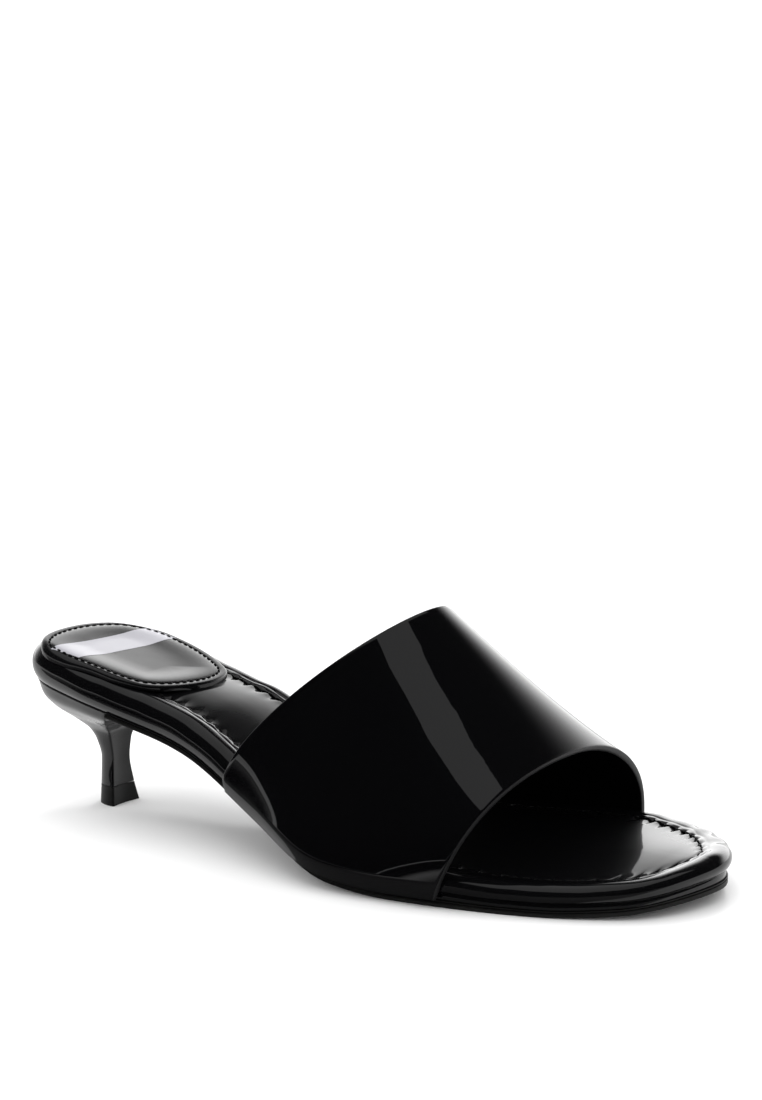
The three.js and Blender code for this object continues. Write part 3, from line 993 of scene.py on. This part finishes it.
@dataclass
class HeelPad:
    """Cushioned heel pad with a stitched border and a plain pressed foil band."""

    last: Last
    start: float = 4.6
    length: float = 58.6
    width: float = 48.4
    thickness: float = 2.0
    # gap under the pad, and height of its upright edge
    gap: float = 0.1
    wall: float = 0.3
    # how far its edge rounds off, downwards and inwards
    edge_drop: float = 0.5
    edge_round: float = 0.7
    # the stitched border, and the depth and half the width of its groove
    border: float = 2.6
    groove: float = 0.16
    groove_width: float = 0.5
    # height of the cushion inside the border and the reach over which it rises
    puff: float = 0.4
    puff_reach: float = 4.0
    # depth of the heel's dish, how far in from the edge it begins and over what reach it sinks
    dish: float = 0.9
    dish_start: float = 4.0
    dish_reach: float = 12.0
    steps: int = 480
    soften: float = 1.2
    # along, near, far: shares of the pad's length and width
    outline: tuple = (
        (0.03, 0.270, 0.220),
        (0.12, 0.430, 0.405),
        (0.30, 0.494, 0.500),
        (0.52, 0.500, 0.486),
        (0.70, 0.497, 0.432),
        (0.85, 0.446, 0.352),
        (0.95, 0.270, 0.262),
    )
    back_far: float = -0.012
    front_far: float = 0.052
    # middle line that its rings close on: from and to along the last, and its y
    spine: tuple = (22.0, 46.0, -0.3)
    # shares of the way to that line of the underside's rings
    below: tuple = (1.0, 0.55, 0.06)
    # distances in from the pad's edge of its top's rings, in mm: close over the edge and the groove
    rings: tuple = (
        0, 0.08, 0.2, 0.4, 0.7, 1.0, 1.4, 1.8, 2.1, 2.35, 2.6, 2.85,
        3.1, 3.5, 4, 4.6, 5.4, 6.6, 8.5, 11, 14, 18, 99,
    )
    stitching: Stitching = Stitching(pitch=2.7, length=1.9, width=0.75)
    # foil band: middle of its near and far ends, half its length along the shoe, its film, the gap
    # under it, and its steps across and along
    foil_ends: tuple = ((21.4, -21.0), (25.6, 22.6))
    foil_half: float = 5.8
    foil_film: float = 0.05
    foil_gap: float = 0.02
    foil_steps: tuple = (60, 16)
    plan: Plan = field(init=False)

    def __post_init__(self) -> None:
        """Runs the pad's outline."""
        rows = np.array(self.outline)
        along = self.start + rows[:, 0] * self.length
        near = np.stack([along, -rows[:, 1] * self.width], 1)
        far = np.stack([along, rows[:, 2] * self.width], 1)[::-1]
        back = [[self.start, self.back_far * self.width]]
        front = [[self.start + self.length, self.front_far * self.width]]
        self.plan = Plan(np.concatenate([back, near, front, far]), self.steps, self.soften)

    def bed(self, points: Array) -> Array:
        """Returns the height of what the pad lies on."""
        x = points[..., 0]
        return self.last.crest(x) - self.last.rim_fall(x, self.last.plan.depth(points)) + self.gap

    def top(self, points: Array) -> Array:
        """Works out the pad's top face.

        Args:
            points: Plan points in mm.

        Returns:
            Its height at each of them.
        """
        depth = self.plan.depth(points)
        out = 1 - np.clip(depth / self.edge_round, 0, 1)
        edge = self.edge_drop * (1 - np.sqrt(np.clip(1 - out**2, 0, 1)))
        groove = self.groove * hill(depth, self.border, self.groove_width)
        cushion = self.puff * (1 - np.exp(-np.clip(depth - self.border, 0, None) / self.puff_reach))
        hollow = self.dish * ease((depth - self.dish_start) / self.dish_reach)
        return self.bed(points) + self.thickness - edge - groove + cushion - hollow

    def build(self) -> list[bpy.types.Object]:
        """Builds and dresses the pad, its stitches and its foil band.

        Returns:
            Their objects.
        """
        last, plan = self.last, self.plan
        back, front, middle = self.spine
        spine = np.column_stack([np.clip(plan.ring[:, 0], back, front), np.full(plan.steps, middle)])
        reach = np.linalg.norm(spine - plan.ring, axis=1)
        rows = []
        for share in self.below:
            points = mix(plan.ring, spine, share)
            rows.append(np.column_stack([points, self.bed(points)]))
        rows.append(np.column_stack([plan.ring, self.bed(plan.ring) + self.wall]))
        for distance in self.rings:
            points = mix(plan.ring, spine, np.minimum(distance / reach, 1)[:, None])
            rows.append(np.column_stack([points, self.top(points)]))
        pad = shell_of("heel_pad_cushioned", np.array(rows), last)
        dress(pad, [PATENT_PANEL], "heel_pad")
        path = plan.inset(self.border)
        path = np.column_stack([path, self.top(path) + self.groove])
        return [pad, self.stitching.sew("pad_stitches", path, last, "pad_patent"), self.foil()]

    def foil(self) -> bpy.types.Object:
        """Builds and dresses the plain foil band that crosses the pad.

        Returns:
            Its object.
        """
        steps_across, steps_along = self.foil_steps
        across = even_line(np.array(self.foil_ends), steps_across)
        offsets = np.linspace(-self.foil_half, self.foil_half, steps_along + 1)
        loop = [(o, 1.0) for o in offsets] + [(o, 0.0) for o in offsets[::-1]]
        rows = []
        for middle in across:
            points = np.array([[middle[0] + o, middle[1]] for o, _ in loop])
            lift = np.array([self.foil_film * side for _, side in loop]) + self.foil_gap
            rows.append(np.column_stack([points, self.top(points) + lift]))
        ends = [rows[0].copy(), rows[-1].copy()]
        for end in ends:
            end[len(offsets) :] = end[: len(offsets)][::-1]
        piece = shell_of("foil_band_pressed", np.array([ends[0], *rows, ends[1]]), self.last)
        return dress(piece, [FOIL])


@dataclass
class Strap:
    """Wide patent band: one arch with a constant wall, tucked under the rim on both sides."""

    last: Last
    # wall of leather and lining, air between it and the rim, how far its feet tuck under the rim
    # and how much thinner they are skived
    wall: float = 2.1
    ease_out: float = 0.4
    tuck: float = 1.3
    skive: float = 0.8
    # how far above the rim the band still follows it, how far the middle of its near side is drawn
    # in, and over what reach its bends are evened out, in mm
    hug: float = 18.0
    bow: float = 3.0
    soften: float = 6.0
    # how far back the near foot's front corner slides towards the sole
    slide: float = 2.2
    # steps from edge to edge and round the arch, and how closely these crowd at its feet
    columns: int = 84
    rows: int = 150
    crowding: float = 1.3
    # steps round the rounded cut edge, and how far it stands out as a share of the wall
    bead_steps: int = 6
    bead_share: float = 0.28
    # each edge: near foot, far foot and crown along, as shares of the length; the crown's y as a
    # share of the ball width and its height in mm; how full the near and the far half of the arch
    # are, where 2 is an ellipse, and how late the arch leans forward
    rear: tuple = (0.389, 0.440, 0.615, 0.018, 78.5, 2.40, 2.36, 1.31)
    front: tuple = (0.7375, 0.7775, 0.802, 0.061, 40.0, 2.57, 1.93, 1.12)
    # rise from the sole to the rim's widest line, then shares of the tuck and of the skive
    foot_rows: tuple = ((0.0, 1.0, 1.0), (0.25, 0.66, 0.7), (0.5, 0.3, 0.4), (0.8, 0.06, 0.1))

    def arch(self, across: Array, degrees: Array) -> Array:
        """Returns points of the outer face.

        Args:
            across: Shares from the rear edge (0) to the front edge (1).
            degrees: Angles round the arch, from the near foot (0) to the far foot (180).

        Returns:
            The points in mm, one row each.
        """
        last = self.last
        near_foot, far_foot, crown_along, crown_far, crown, near_full, far_full, lean = (
            mix(a, b, across) for a, b in zip(self.rear, self.front)
        )
        is_near = degrees <= 90
        angle = np.radians(np.where(is_near, degrees, 180 - degrees))
        power = 2 / np.where(is_near, near_full, far_full)
        up = np.sin(angle) ** power
        inward = 1 - np.clip(np.cos(angle), 0, None) ** power
        foot_x = np.where(is_near, near_foot, far_foot) * last.length
        out = -(self.ease_out + self.wall)

        def beside(x: Array) -> Array:
            """Returns the y of the band where it stands straight up from the rim."""
            near = last.plan.side(x, Side.NEAR, out)
            return np.where(is_near, near, last.plan.side(x, Side.FAR, out))

        foot_z = last.rim_height(foot_x, 0)
        x = mix(foot_x, crown_along * last.length, up**lean)
        z = mix(foot_z, crown, up)
        ends = [np.where(is_near, edge[0], edge[1]) * last.length for edge in (self.rear, self.front)]
        bow = np.where(is_near, self.bow * 4 * across * (1 - across), 0)
        base = mix(beside(ends[0]), beside(ends[1]), across) - bow
        y = mix(beside(x), base, ease((z - foot_z) / self.hug))
        return np.column_stack([x, mix(y, crown_far * last.ball_width, inward), z])

    def foot(self, across: Array, side: Side, is_inner: bool) -> Array:
        """Returns the rows of one face below the rim's widest line, from the sole up.

        Args:
            across: Shares from the rear edge (0) to the front edge (1).
            side: Side of the foot.
            is_inner: Whether the face is the inner one.

        Returns:
            The points in mm, a row of points for each height.
        """
        last = self.last
        index = 0 if side is Side.NEAR else 1
        rows = []
        for rise, tuck, skive in self.foot_rows:
            inset = self.tuck * tuck - self.ease_out - self.wall
            if is_inner:
                inset += self.wall - self.skive * skive
            slide = self.slide * across * (1 - rise) if side is Side.NEAR else 0
            x = mix(self.rear[index], self.front[index], across) * last.length - slide
            z = mix(last.bed_bottom(x), last.rim_height(x, 0), rise)
            rows.append(np.column_stack([x, last.plan.side(x, side, inset), z]))
        return np.array(rows)

    def faces(self) -> tuple[Array, Array]:
        """Builds both faces of the band.

        Returns:
            The outer and the inner face, rows from near to far, columns from rear to front.
        """
        shares = np.linspace(0, 1, self.columns + 1)
        step = np.linspace(0, 2, self.rows + 1)
        turn = np.where(step <= 1, 90 * step**self.crowding, 180 - 90 * (2 - step) ** self.crowding)
        across, degrees = np.meshgrid(shares, turn)
        outer = self.arch(across.ravel(), degrees.ravel()).reshape(len(turn), len(shares), 3)
        for column in range(len(shares)):
            outer[:, column] = soften_line(even_line(outer[:, column], self.rows), self.soften)
        normal = np.cross(np.gradient(outer, axis=1), np.gradient(outer, axis=0))
        normal /= np.linalg.norm(normal, axis=2)[:, :, None]
        both = []
        for face, is_inner in ((outer, False), (outer - normal * self.wall, True)):
            near = self.foot(shares, Side.NEAR, is_inner)
            far = self.foot(shares, Side.FAR, is_inner)[::-1]
            both.append(np.concatenate([near, face, far]))
        return both[0], both[1]

    def build(self) -> list[bpy.types.Object]:
        """Builds and dresses the band.

        Returns:
            Its object.
        """
        outer, inner = self.faces()
        middle, half = (outer + inner) / 2, (outer - inner) / 2
        forward = np.gradient(middle, axis=1)
        forward /= np.linalg.norm(forward, axis=2)[:, :, None]
        bead = np.radians(np.linspace(0, 180, self.bead_steps + 1))[1:-1]
        front, wide = self.columns, self.columns + 1
        # column, how far towards the outer face, how far out of the edge, material number
        loop = [(c, 1.0, 0.0, int(c == front)) for c in range(wide)]
        loop += [(front, math.cos(b), math.sin(b), 1) for b in bead]
        loop += [(c, -1.0, 0.0, 2 if c else 1) for c in range(front, -1, -1)]
        loop += [(0, -math.cos(b), -math.sin(b), 1) for b in bead]
        column, lift, push = (np.array([item[k] for item in loop]) for k in (0, 1, 2))
        body = middle[:, column] + half[:, column] * lift[:, None]
        body += forward[:, column] * (push * self.bead_share * self.wall)[:, None]
        ends = [middle[row][column] for row in (0, -1)]
        rows = np.array([ends[0], *body, ends[1]])
        piece = shell_of("band_patent", rows, self.last, [item[3] for item in loop])
        return [dress(piece, [PATENT_BAND, CUT_EDGE, LINING], "strap")]


@dataclass
class Outsole:
    """Thin outsole with a stepped, painted edge, from the heel breast to the toe."""

    last: Last
    # how far the sole lies inside the footbed's outline, and the depth of its edge's steps
    inset: float = 1.2
    step: float = 0.5
    # share of the step set in, share of the thickness up: a rounded foot, then a groove
    edge: tuple = (
        (1, 0),
        (0.3, 0.06),
        (0, 0.22),
        (0, 0.62),
        (0.15, 0.67),
        (1, 0.70),
        (1, 0.80),
        (0.15, 0.83),
        (0, 0.88),
        (0, 1),
    )
    # shares of the way to the middle line of each face's rings
    caps: tuple = (1.0, 0.8, 0.6, 0.4, 0.2)

    def build(self) -> list[bpy.types.Object]:
        """Builds and dresses the outsole.

        Returns:
            Its object.
        """
        last, plan = self.last, self.last.plan
        rows = plan.cap(plan.inset(self.inset + self.step), self.caps, last.underside)
        for step, rise in self.edge:
            points = plan.inset(self.inset + self.step * step)
            x = points[:, 0]
            rows.append(np.column_stack([points, mix(last.underside(x), last.sole_top(x), rise)]))
        rows += plan.cap(plan.inset(self.inset), self.caps[::-1], last.sole_top)
        piece = shell_of("outsole_painted", last.pressed(np.array(rows)), last)
        shell = bmesh.new()
        shell.from_mesh(piece.data)
        breast = Vector(((last.seat_length + last.clearance + last.shift[0]) * MM, 0, 0))
        parts = shell.verts[:] + shell.edges[:] + shell.faces[:]
        bmesh.ops.bisect_plane(
            shell, geom=parts, dist=SLIVER, plane_co=breast, plane_no=(1, 0, 0), clear_inner=True
        )
        bmesh.ops.holes_fill(shell, edges=[e for e in shell.edges if e.is_boundary], sides=0)
        shell.to_mesh(piece.data)
        shell.free()
        return [dress(piece, [PAINTED_EDGE], "outsole")]


@dataclass
class Heel:
    """Kitten heel: a flared seat drawn down to a slim neck, with its top piece."""

    last: Last
    # how far the seat lies inside the footbed's outline, and how square the backs of the seat and
    # of the stem are, where 2 is round
    seat_inset: float = 1.9
    seat_roundness: float = 3.2
    stem_roundness: float = 2.0
    tip_height: float = 5.9
    tip_width: float = 13.4
    tip_depth: float = 9.4
    neck_width: float = 8.8
    neck_depth: float = 7.7
    # depth of the hollow breast as a share of the stem's half width, and the rise from which on
    # the rings tilt towards the seat
    breast_hollow: float = 0.1
    tilt_start: float = 0.3
    # where the breast stands along the last
    tip_breast: float = 28.1
    neck_breast: float = 26.4
    # steps round the back, over the breast and of the whole even ring, and how far in mm its
    # corners are evened out
    back_steps: int = 88
    breast_steps: int = 24
    ring_steps: int = 220
    corner: float = 0.45
    heel_levels: int = 90
    tip_levels: int = 16
    # shares of the way to the middle of each end's rings
    caps: tuple = (0.03, 0.5, 1.0)
    # rise, then how far the tip has become the neck, and how far the stem's back, breast and width
    # have become the seat's
    sections: tuple = (
        (0.00, 0.0, 0, 0, 0),
        (0.18, 0.6, 0, 0, 0),
        (0.38, 1.0, 0, 0, 0),
        (0.53, 1.0, 0.08, 0, 0.04),
        (0.61, 1.0, 0.18, 0.03, 0.10),
        (0.70, 1.0, 0.36, 0.20, 0.30),
        (0.80, 1.0, 0.61, 0.55, 0.62),
        (0.90, 1.0, 0.81, 0.84, 0.88),
        (1.00, 1.0, 1, 1, 1),
    )

    def ring(self, rise: float) -> Array:
        """Builds one level of the heel.

        Args:
            rise: Share of the heel's height.

        Returns:
            Its points in mm, from the near corner round the back and over the breast.
        """
        last = self.last
        rows = np.array(self.sections, float)
        neck, back_at, breast_at, wide = (
            float(smooth_column(rows[:, 0], rows[:, c], rise)) for c in (1, 2, 3, 4)
        )
        stem_breast = mix(self.tip_breast, self.neck_breast, neck)
        breast = mix(stem_breast, last.seat_length, breast_at)
        back = mix(stem_breast - mix(self.tip_depth, self.neck_depth, neck), self.seat_inset, back_at)
        power = 2 / mix(self.stem_roundness, self.seat_roundness, wide)
        middle_x = last.seat_length / 2
        seat_middle = (last.plan.side(middle_x, Side.NEAR, 0) + last.plan.side(middle_x, Side.FAR, 0)) / 2
        stem_half = mix(self.tip_width, self.neck_width, neck) / 2
        tilt = ease((rise - self.tilt_start) / (1 - self.tilt_start))
        angle = np.radians(np.linspace(-90, 90, self.back_steps + 1))
        x = breast - (breast - back) * np.clip(np.cos(angle), 0, None) ** power
        sine = np.abs(np.sin(angle)) ** power
        near = np.abs(last.plan.side(x, Side.NEAR, self.seat_inset) - seat_middle)
        far = np.abs(last.plan.side(x, Side.FAR, self.seat_inset) - seat_middle)
        seat_half = np.where(angle < 0, near, far)
        y = seat_middle * wide + np.sign(angle) * mix(stem_half * sine, seat_half, wide)
        share = np.linspace(0, 1, self.breast_steps + 1)[1:]
        hollow = self.breast_hollow * stem_half * np.sin(math.pi * share)
        x = np.concatenate([x, breast - hollow])
        y = np.concatenate([y, mix(y[-1], y[0], share)])
        level = even_line(np.column_stack([x, y]), self.ring_steps)[:-1]
        level = soften_ring(level, self.corner)
        bottom = mix(last.bed_bottom(self.neck_breast), last.bed_bottom(level[:, 0]), tilt)
        return np.column_stack([level, rise * (bottom - last.clearance)])

    def loft(self, name: str, low: float, high: float, levels: int) -> bpy.types.Object:
        """Builds a closed loft of rings.

        Args:
            name: Name of the piece.
            low: Share of the heel's height where it begins.
            high: Share of the heel's height where it ends.
            levels: How many rings it has.

        Returns:
            The piece's object.
        """
        rings = np.array([self.ring(rise) for rise in np.linspace(low, high, levels)])
        caps = []
        for ring in (rings[0], rings[-1]):
            centre = ring.mean(0)
            caps.append([mix(ring, centre, share) for share in self.caps])
        rows = [*caps[0][::-1], *rings, *caps[1]]
        return shell_of(name, np.array(rows), self.last)

    def build(self) -> list[bpy.types.Object]:
        """Builds and dresses the heel and its top piece.

        Returns:
            Their objects.
        """
        full = float(self.last.bed_bottom(self.neck_breast))
        heel_start = (self.tip_height + self.last.clearance) / full
        heel = self.loft("heel_wrapped", heel_start, 1.0, self.heel_levels)
        tip = self.loft("top_piece_moulded", 0.0, self.tip_height / full, self.tip_levels)
        return [
            dress(heel, [WRAPPED_HEEL], "heel"),
            dress(tip, [TOP_LIFT], "top_piece"),
        ]


@dataclass(frozen=True)
class Softbox:
    """A rectangular soft light: its middle, its sides in metres and how bright its face looks.

    The white floor looks about 1 bright. A light that isn't aimed at the shoe faces straight down.
    """

    name: str
    place: tuple
    size: tuple
    radiance: float
    is_aimed: bool
    in_gloss: bool

    def hang(self) -> None:
        """Hangs the light."""
        data = bpy.data.lights.new(self.name, "AREA")
        data.shape = "RECTANGLE"
        data.size, data.size_y = self.size
        data.energy = self.radiance * math.pi * data.size * data.size_y
        light = bpy.data.objects.new(self.name, data)
        place = Vector(self.place)
        aim = Vector(SHOE_MIDDLE) - place if self.is_aimed else Vector((0, 0, -1))
        light.matrix_world = Matrix.Translation(place) @ aim.to_track_quat("-Z", "Y").to_matrix().to_4x4()
        light.visible_camera = False
        light.visible_glossy = self.in_gloss
        bpy.context.scene.collection.objects.link(light)


@dataclass
class Studio:
    """White floor and surround, soft lights and the camera at the photo's viewing angle."""

    # the camera's place in metres, the degrees it stands round and above the shoe and its roll
    place: tuple = (0.5815, -0.8055, 0.2742)
    azimuth: float = -54.429
    elevation: float = 10.378
    roll: float = 0.317
    lens: float = 109.07
    sensor: float = 36.0
    clip: tuple = (0.05, 50.0)
    floor_half: float = 30.0
    # the greyer tone painted into the paper for the lacquer's mirror alone: a painted darker reflection
    paper_reflection_painted: str = "#c9c9c9"
    # brightness of the surround, and of the backdrop that the gloss sees in its place; the
    # backdrop's direction and how it fades round and upwards
    surround: float = 1.3
    glow: float = 2.2
    glow_towards: tuple = (-0.45, 0.89, 0.0)
    glow_round: tuple = (0.30, 0.80)
    glow_up: tuple = (0.68, 0.28)
    # black card of painted shade in front of the shoe, seen by the gloss alone: its left, right, near
    # and far edge in metres, and the degrees by which it is then turned
    card: tuple = (-0.60, 0.45, -1.2, -0.046)
    card_turn: float = 8.5
    # painted reflection: from where to where, in metres, it fades to grey on the left and towards the shoe,
    # and how light
    card_left: tuple = (-0.17, -0.40, 0.12)
    card_shoe: tuple = (-0.115, -0.05, 0.12)
    # middle, radius and lightness of the soft painted light spot on it
    card_painted_spot: tuple = ((0.03, -0.12), 0.05, 0.45)
    lights: tuple = (
        Softbox("top_box", (-0.55, 0.0, 1.6), (1.9, 1.92), 0.58, is_aimed=False, in_gloss=True),
        Softbox("key_light", (-0.45, 1.5, 1.7), (0.35, 0.35), 30.0, is_aimed=True, in_gloss=False),
    )

    def camera(self) -> None:
        """Sets the camera."""
        data = bpy.data.cameras.new("photo_view")
        data.lens = self.lens
        data.sensor_width = self.sensor
        data.clip_start, data.clip_end = self.clip
        camera = bpy.data.objects.new("photo_view", data)
        bpy.context.scene.collection.objects.link(camera)
        turns = ((90 + self.azimuth, "Z"), (90 - self.elevation, "X"), (-self.roll, "Z"))
        pose = Matrix.Translation(self.place)
        for degrees, axis in turns:
            pose = pose @ Matrix.Rotation(math.radians(degrees), 4, axis)
        camera.matrix_world = pose
        bpy.context.scene.camera = camera

    def floor(self) -> None:
        """Lays the floor, with its reflection in the lacquer painted greyer."""
        shell = bmesh.new()
        bmesh.ops.create_grid(shell, x_segments=1, y_segments=1, size=self.floor_half)
        floor = finish_mesh("studio_floor", shell)
        paper = PAPER.build()
        tree = paper.node_tree
        # painted reflection: glossy rays see the paper in the greyer tone
        path = add_node(tree, "ShaderNodeLightPath", {}, {})
        tones = {"data_type": "RGBA", 6: linear(PAPER.colour), 7: linear(self.paper_reflection_painted)}
        shade = add_node(tree, "ShaderNodeMix", tones, {0: path.outputs["Is Glossy Ray"]})
        tree.links.new(shade.outputs[2], tree.nodes["Principled BSDF"].inputs["Base Color"])
        floor.data.materials.append(paper)

    def paint_reflection_shade(self) -> bpy.types.Material:
        """Makes the card's finish: painted shade, black fading to grey, with a painted lighter spot.

        Returns:
            The material.
        """
        paint = PAINTED_SHADE_CARD.build()
        tree = paint.node_tree
        place = add_node(tree, "ShaderNodeTexCoord", {}, {}).outputs["Object"]
        split = add_node(tree, "ShaderNodeSeparateXYZ", {}, {0: place})
        centre, radius, spot = self.card_painted_spot
        from_spot = {"operation": "DISTANCE", 1: (*centre, MM)}
        away = add_node(tree, "ShaderNodeVectorMath", from_spot, {0: place}).outputs["Value"]
        tones = []
        for value, start, end, dark, light in (
            (split.outputs[0], *self.card_left[:2], 0.0, self.card_left[2]),
            (split.outputs[1], *self.card_shoe[:2], 0.0, self.card_shoe[2]),
            (away, 0.0, radius, spot, 0.0),
        ):
            fade = {"interpolation_type": "SMOOTHSTEP", 1: start, 2: end, 3: dark, 4: light}
            tones.append(add_node(tree, "ShaderNodeMapRange", fade, {0: value}).outputs[0])
        lightest = tones[0]
        for tone in tones[1:]:
            links = {0: lightest, 1: tone}
            lightest = add_node(tree, "ShaderNodeMath", {"operation": "MAXIMUM"}, links).outputs[0]
        tree.links.new(lightest, tree.nodes["Principled BSDF"].inputs["Base Color"])
        return paint

    def shaded_card(self) -> None:
        """Lays a card of painted shade in front of the shoe, seen by the gloss alone, which keeps the near
        side of the band deep black.
        """
        left, right, near, far = self.card
        size = Matrix.Diagonal((right - left, far - near, 1, 1))
        middle = Matrix.Translation(((left + right) / 2, (near + far) / 2, MM))
        turn = Matrix.Rotation(math.radians(self.card_turn), 4, "Z")
        shell = bmesh.new()
        bmesh.ops.create_grid(shell, x_segments=1, y_segments=1, size=0.5, matrix=turn @ middle @ size)
        card = finish_mesh("studio_card_painted_shade", shell)
        card.data.materials.append(self.paint_reflection_shade())
        card.visible_camera = card.visible_diffuse = card.visible_shadow = False

    def sky(self) -> None:
        """Sets an even white surround, of which the gloss sees only a backdrop behind the shoe."""
        world = bpy.data.worlds.new("studio")
        world.use_nodes = True
        tree = world.node_tree
        background = tree.nodes["Background"]
        background.inputs["Color"].default_value = linear("#ffffff")
        towards = add_node(tree, "ShaderNodeTexCoord", {}, {}).outputs["Generated"]
        along = {"operation": "DOT_PRODUCT", 1: self.glow_towards}
        facing = add_node(tree, "ShaderNodeVectorMath", along, {0: towards}).outputs["Value"]
        height = add_node(tree, "ShaderNodeSeparateXYZ", {}, {0: towards}).outputs[2]
        glow = None
        for value, (start, end) in ((facing, self.glow_round), (height, self.glow_up)):
            fade = {"interpolation_type": "SMOOTHSTEP", 1: start, 2: end, 3: 0.0, 4: 1.0}
            share = add_node(tree, "ShaderNodeMapRange", fade, {0: value}).outputs[0]
            product = {"operation": "MULTIPLY", 0: self.glow}
            links = {1: share} if glow is None else {0: glow, 1: share}
            glow = add_node(tree, "ShaderNodeMath", product, links).outputs[0]
        path = add_node(tree, "ShaderNodeLightPath", {}, {})
        seen = {0: path.outputs["Is Glossy Ray"], 3: glow}
        strength = add_node(tree, "ShaderNodeMix", {"data_type": "FLOAT", 2: self.surround}, seen)
        tree.links.new(strength.outputs[0], background.inputs["Strength"])
        bpy.context.scene.world = world

    def build(self) -> None:
        """Sets the surround, the floor, the card, the lights and the camera."""
        bpy.context.scene.view_settings.view_transform = "Standard"
        self.sky()
        self.floor()
        self.shaded_card()
        for light in self.lights:
            light.hang()
        self.camera()


def main() -> None:
    """Builds the sandal piece by piece and sets the studio round it."""
    logging.basicConfig(level=logging.INFO, format="%(message)s")
    last = Last()
    gathers = Gathers(last)
    builders = (
        Outsole(last),
        Footbed(last, gathers),
        InsolePanel(last, gathers),
        HeelPad(last),
        Strap(last),
        Heel(last),
    )
    for builder in builders:
        for piece in builder.build():
            LOG.info("%s: %d faces", piece.name, len(piece.data.polygons))
    Studio().build()


if __name__ == "__main__":
    main()
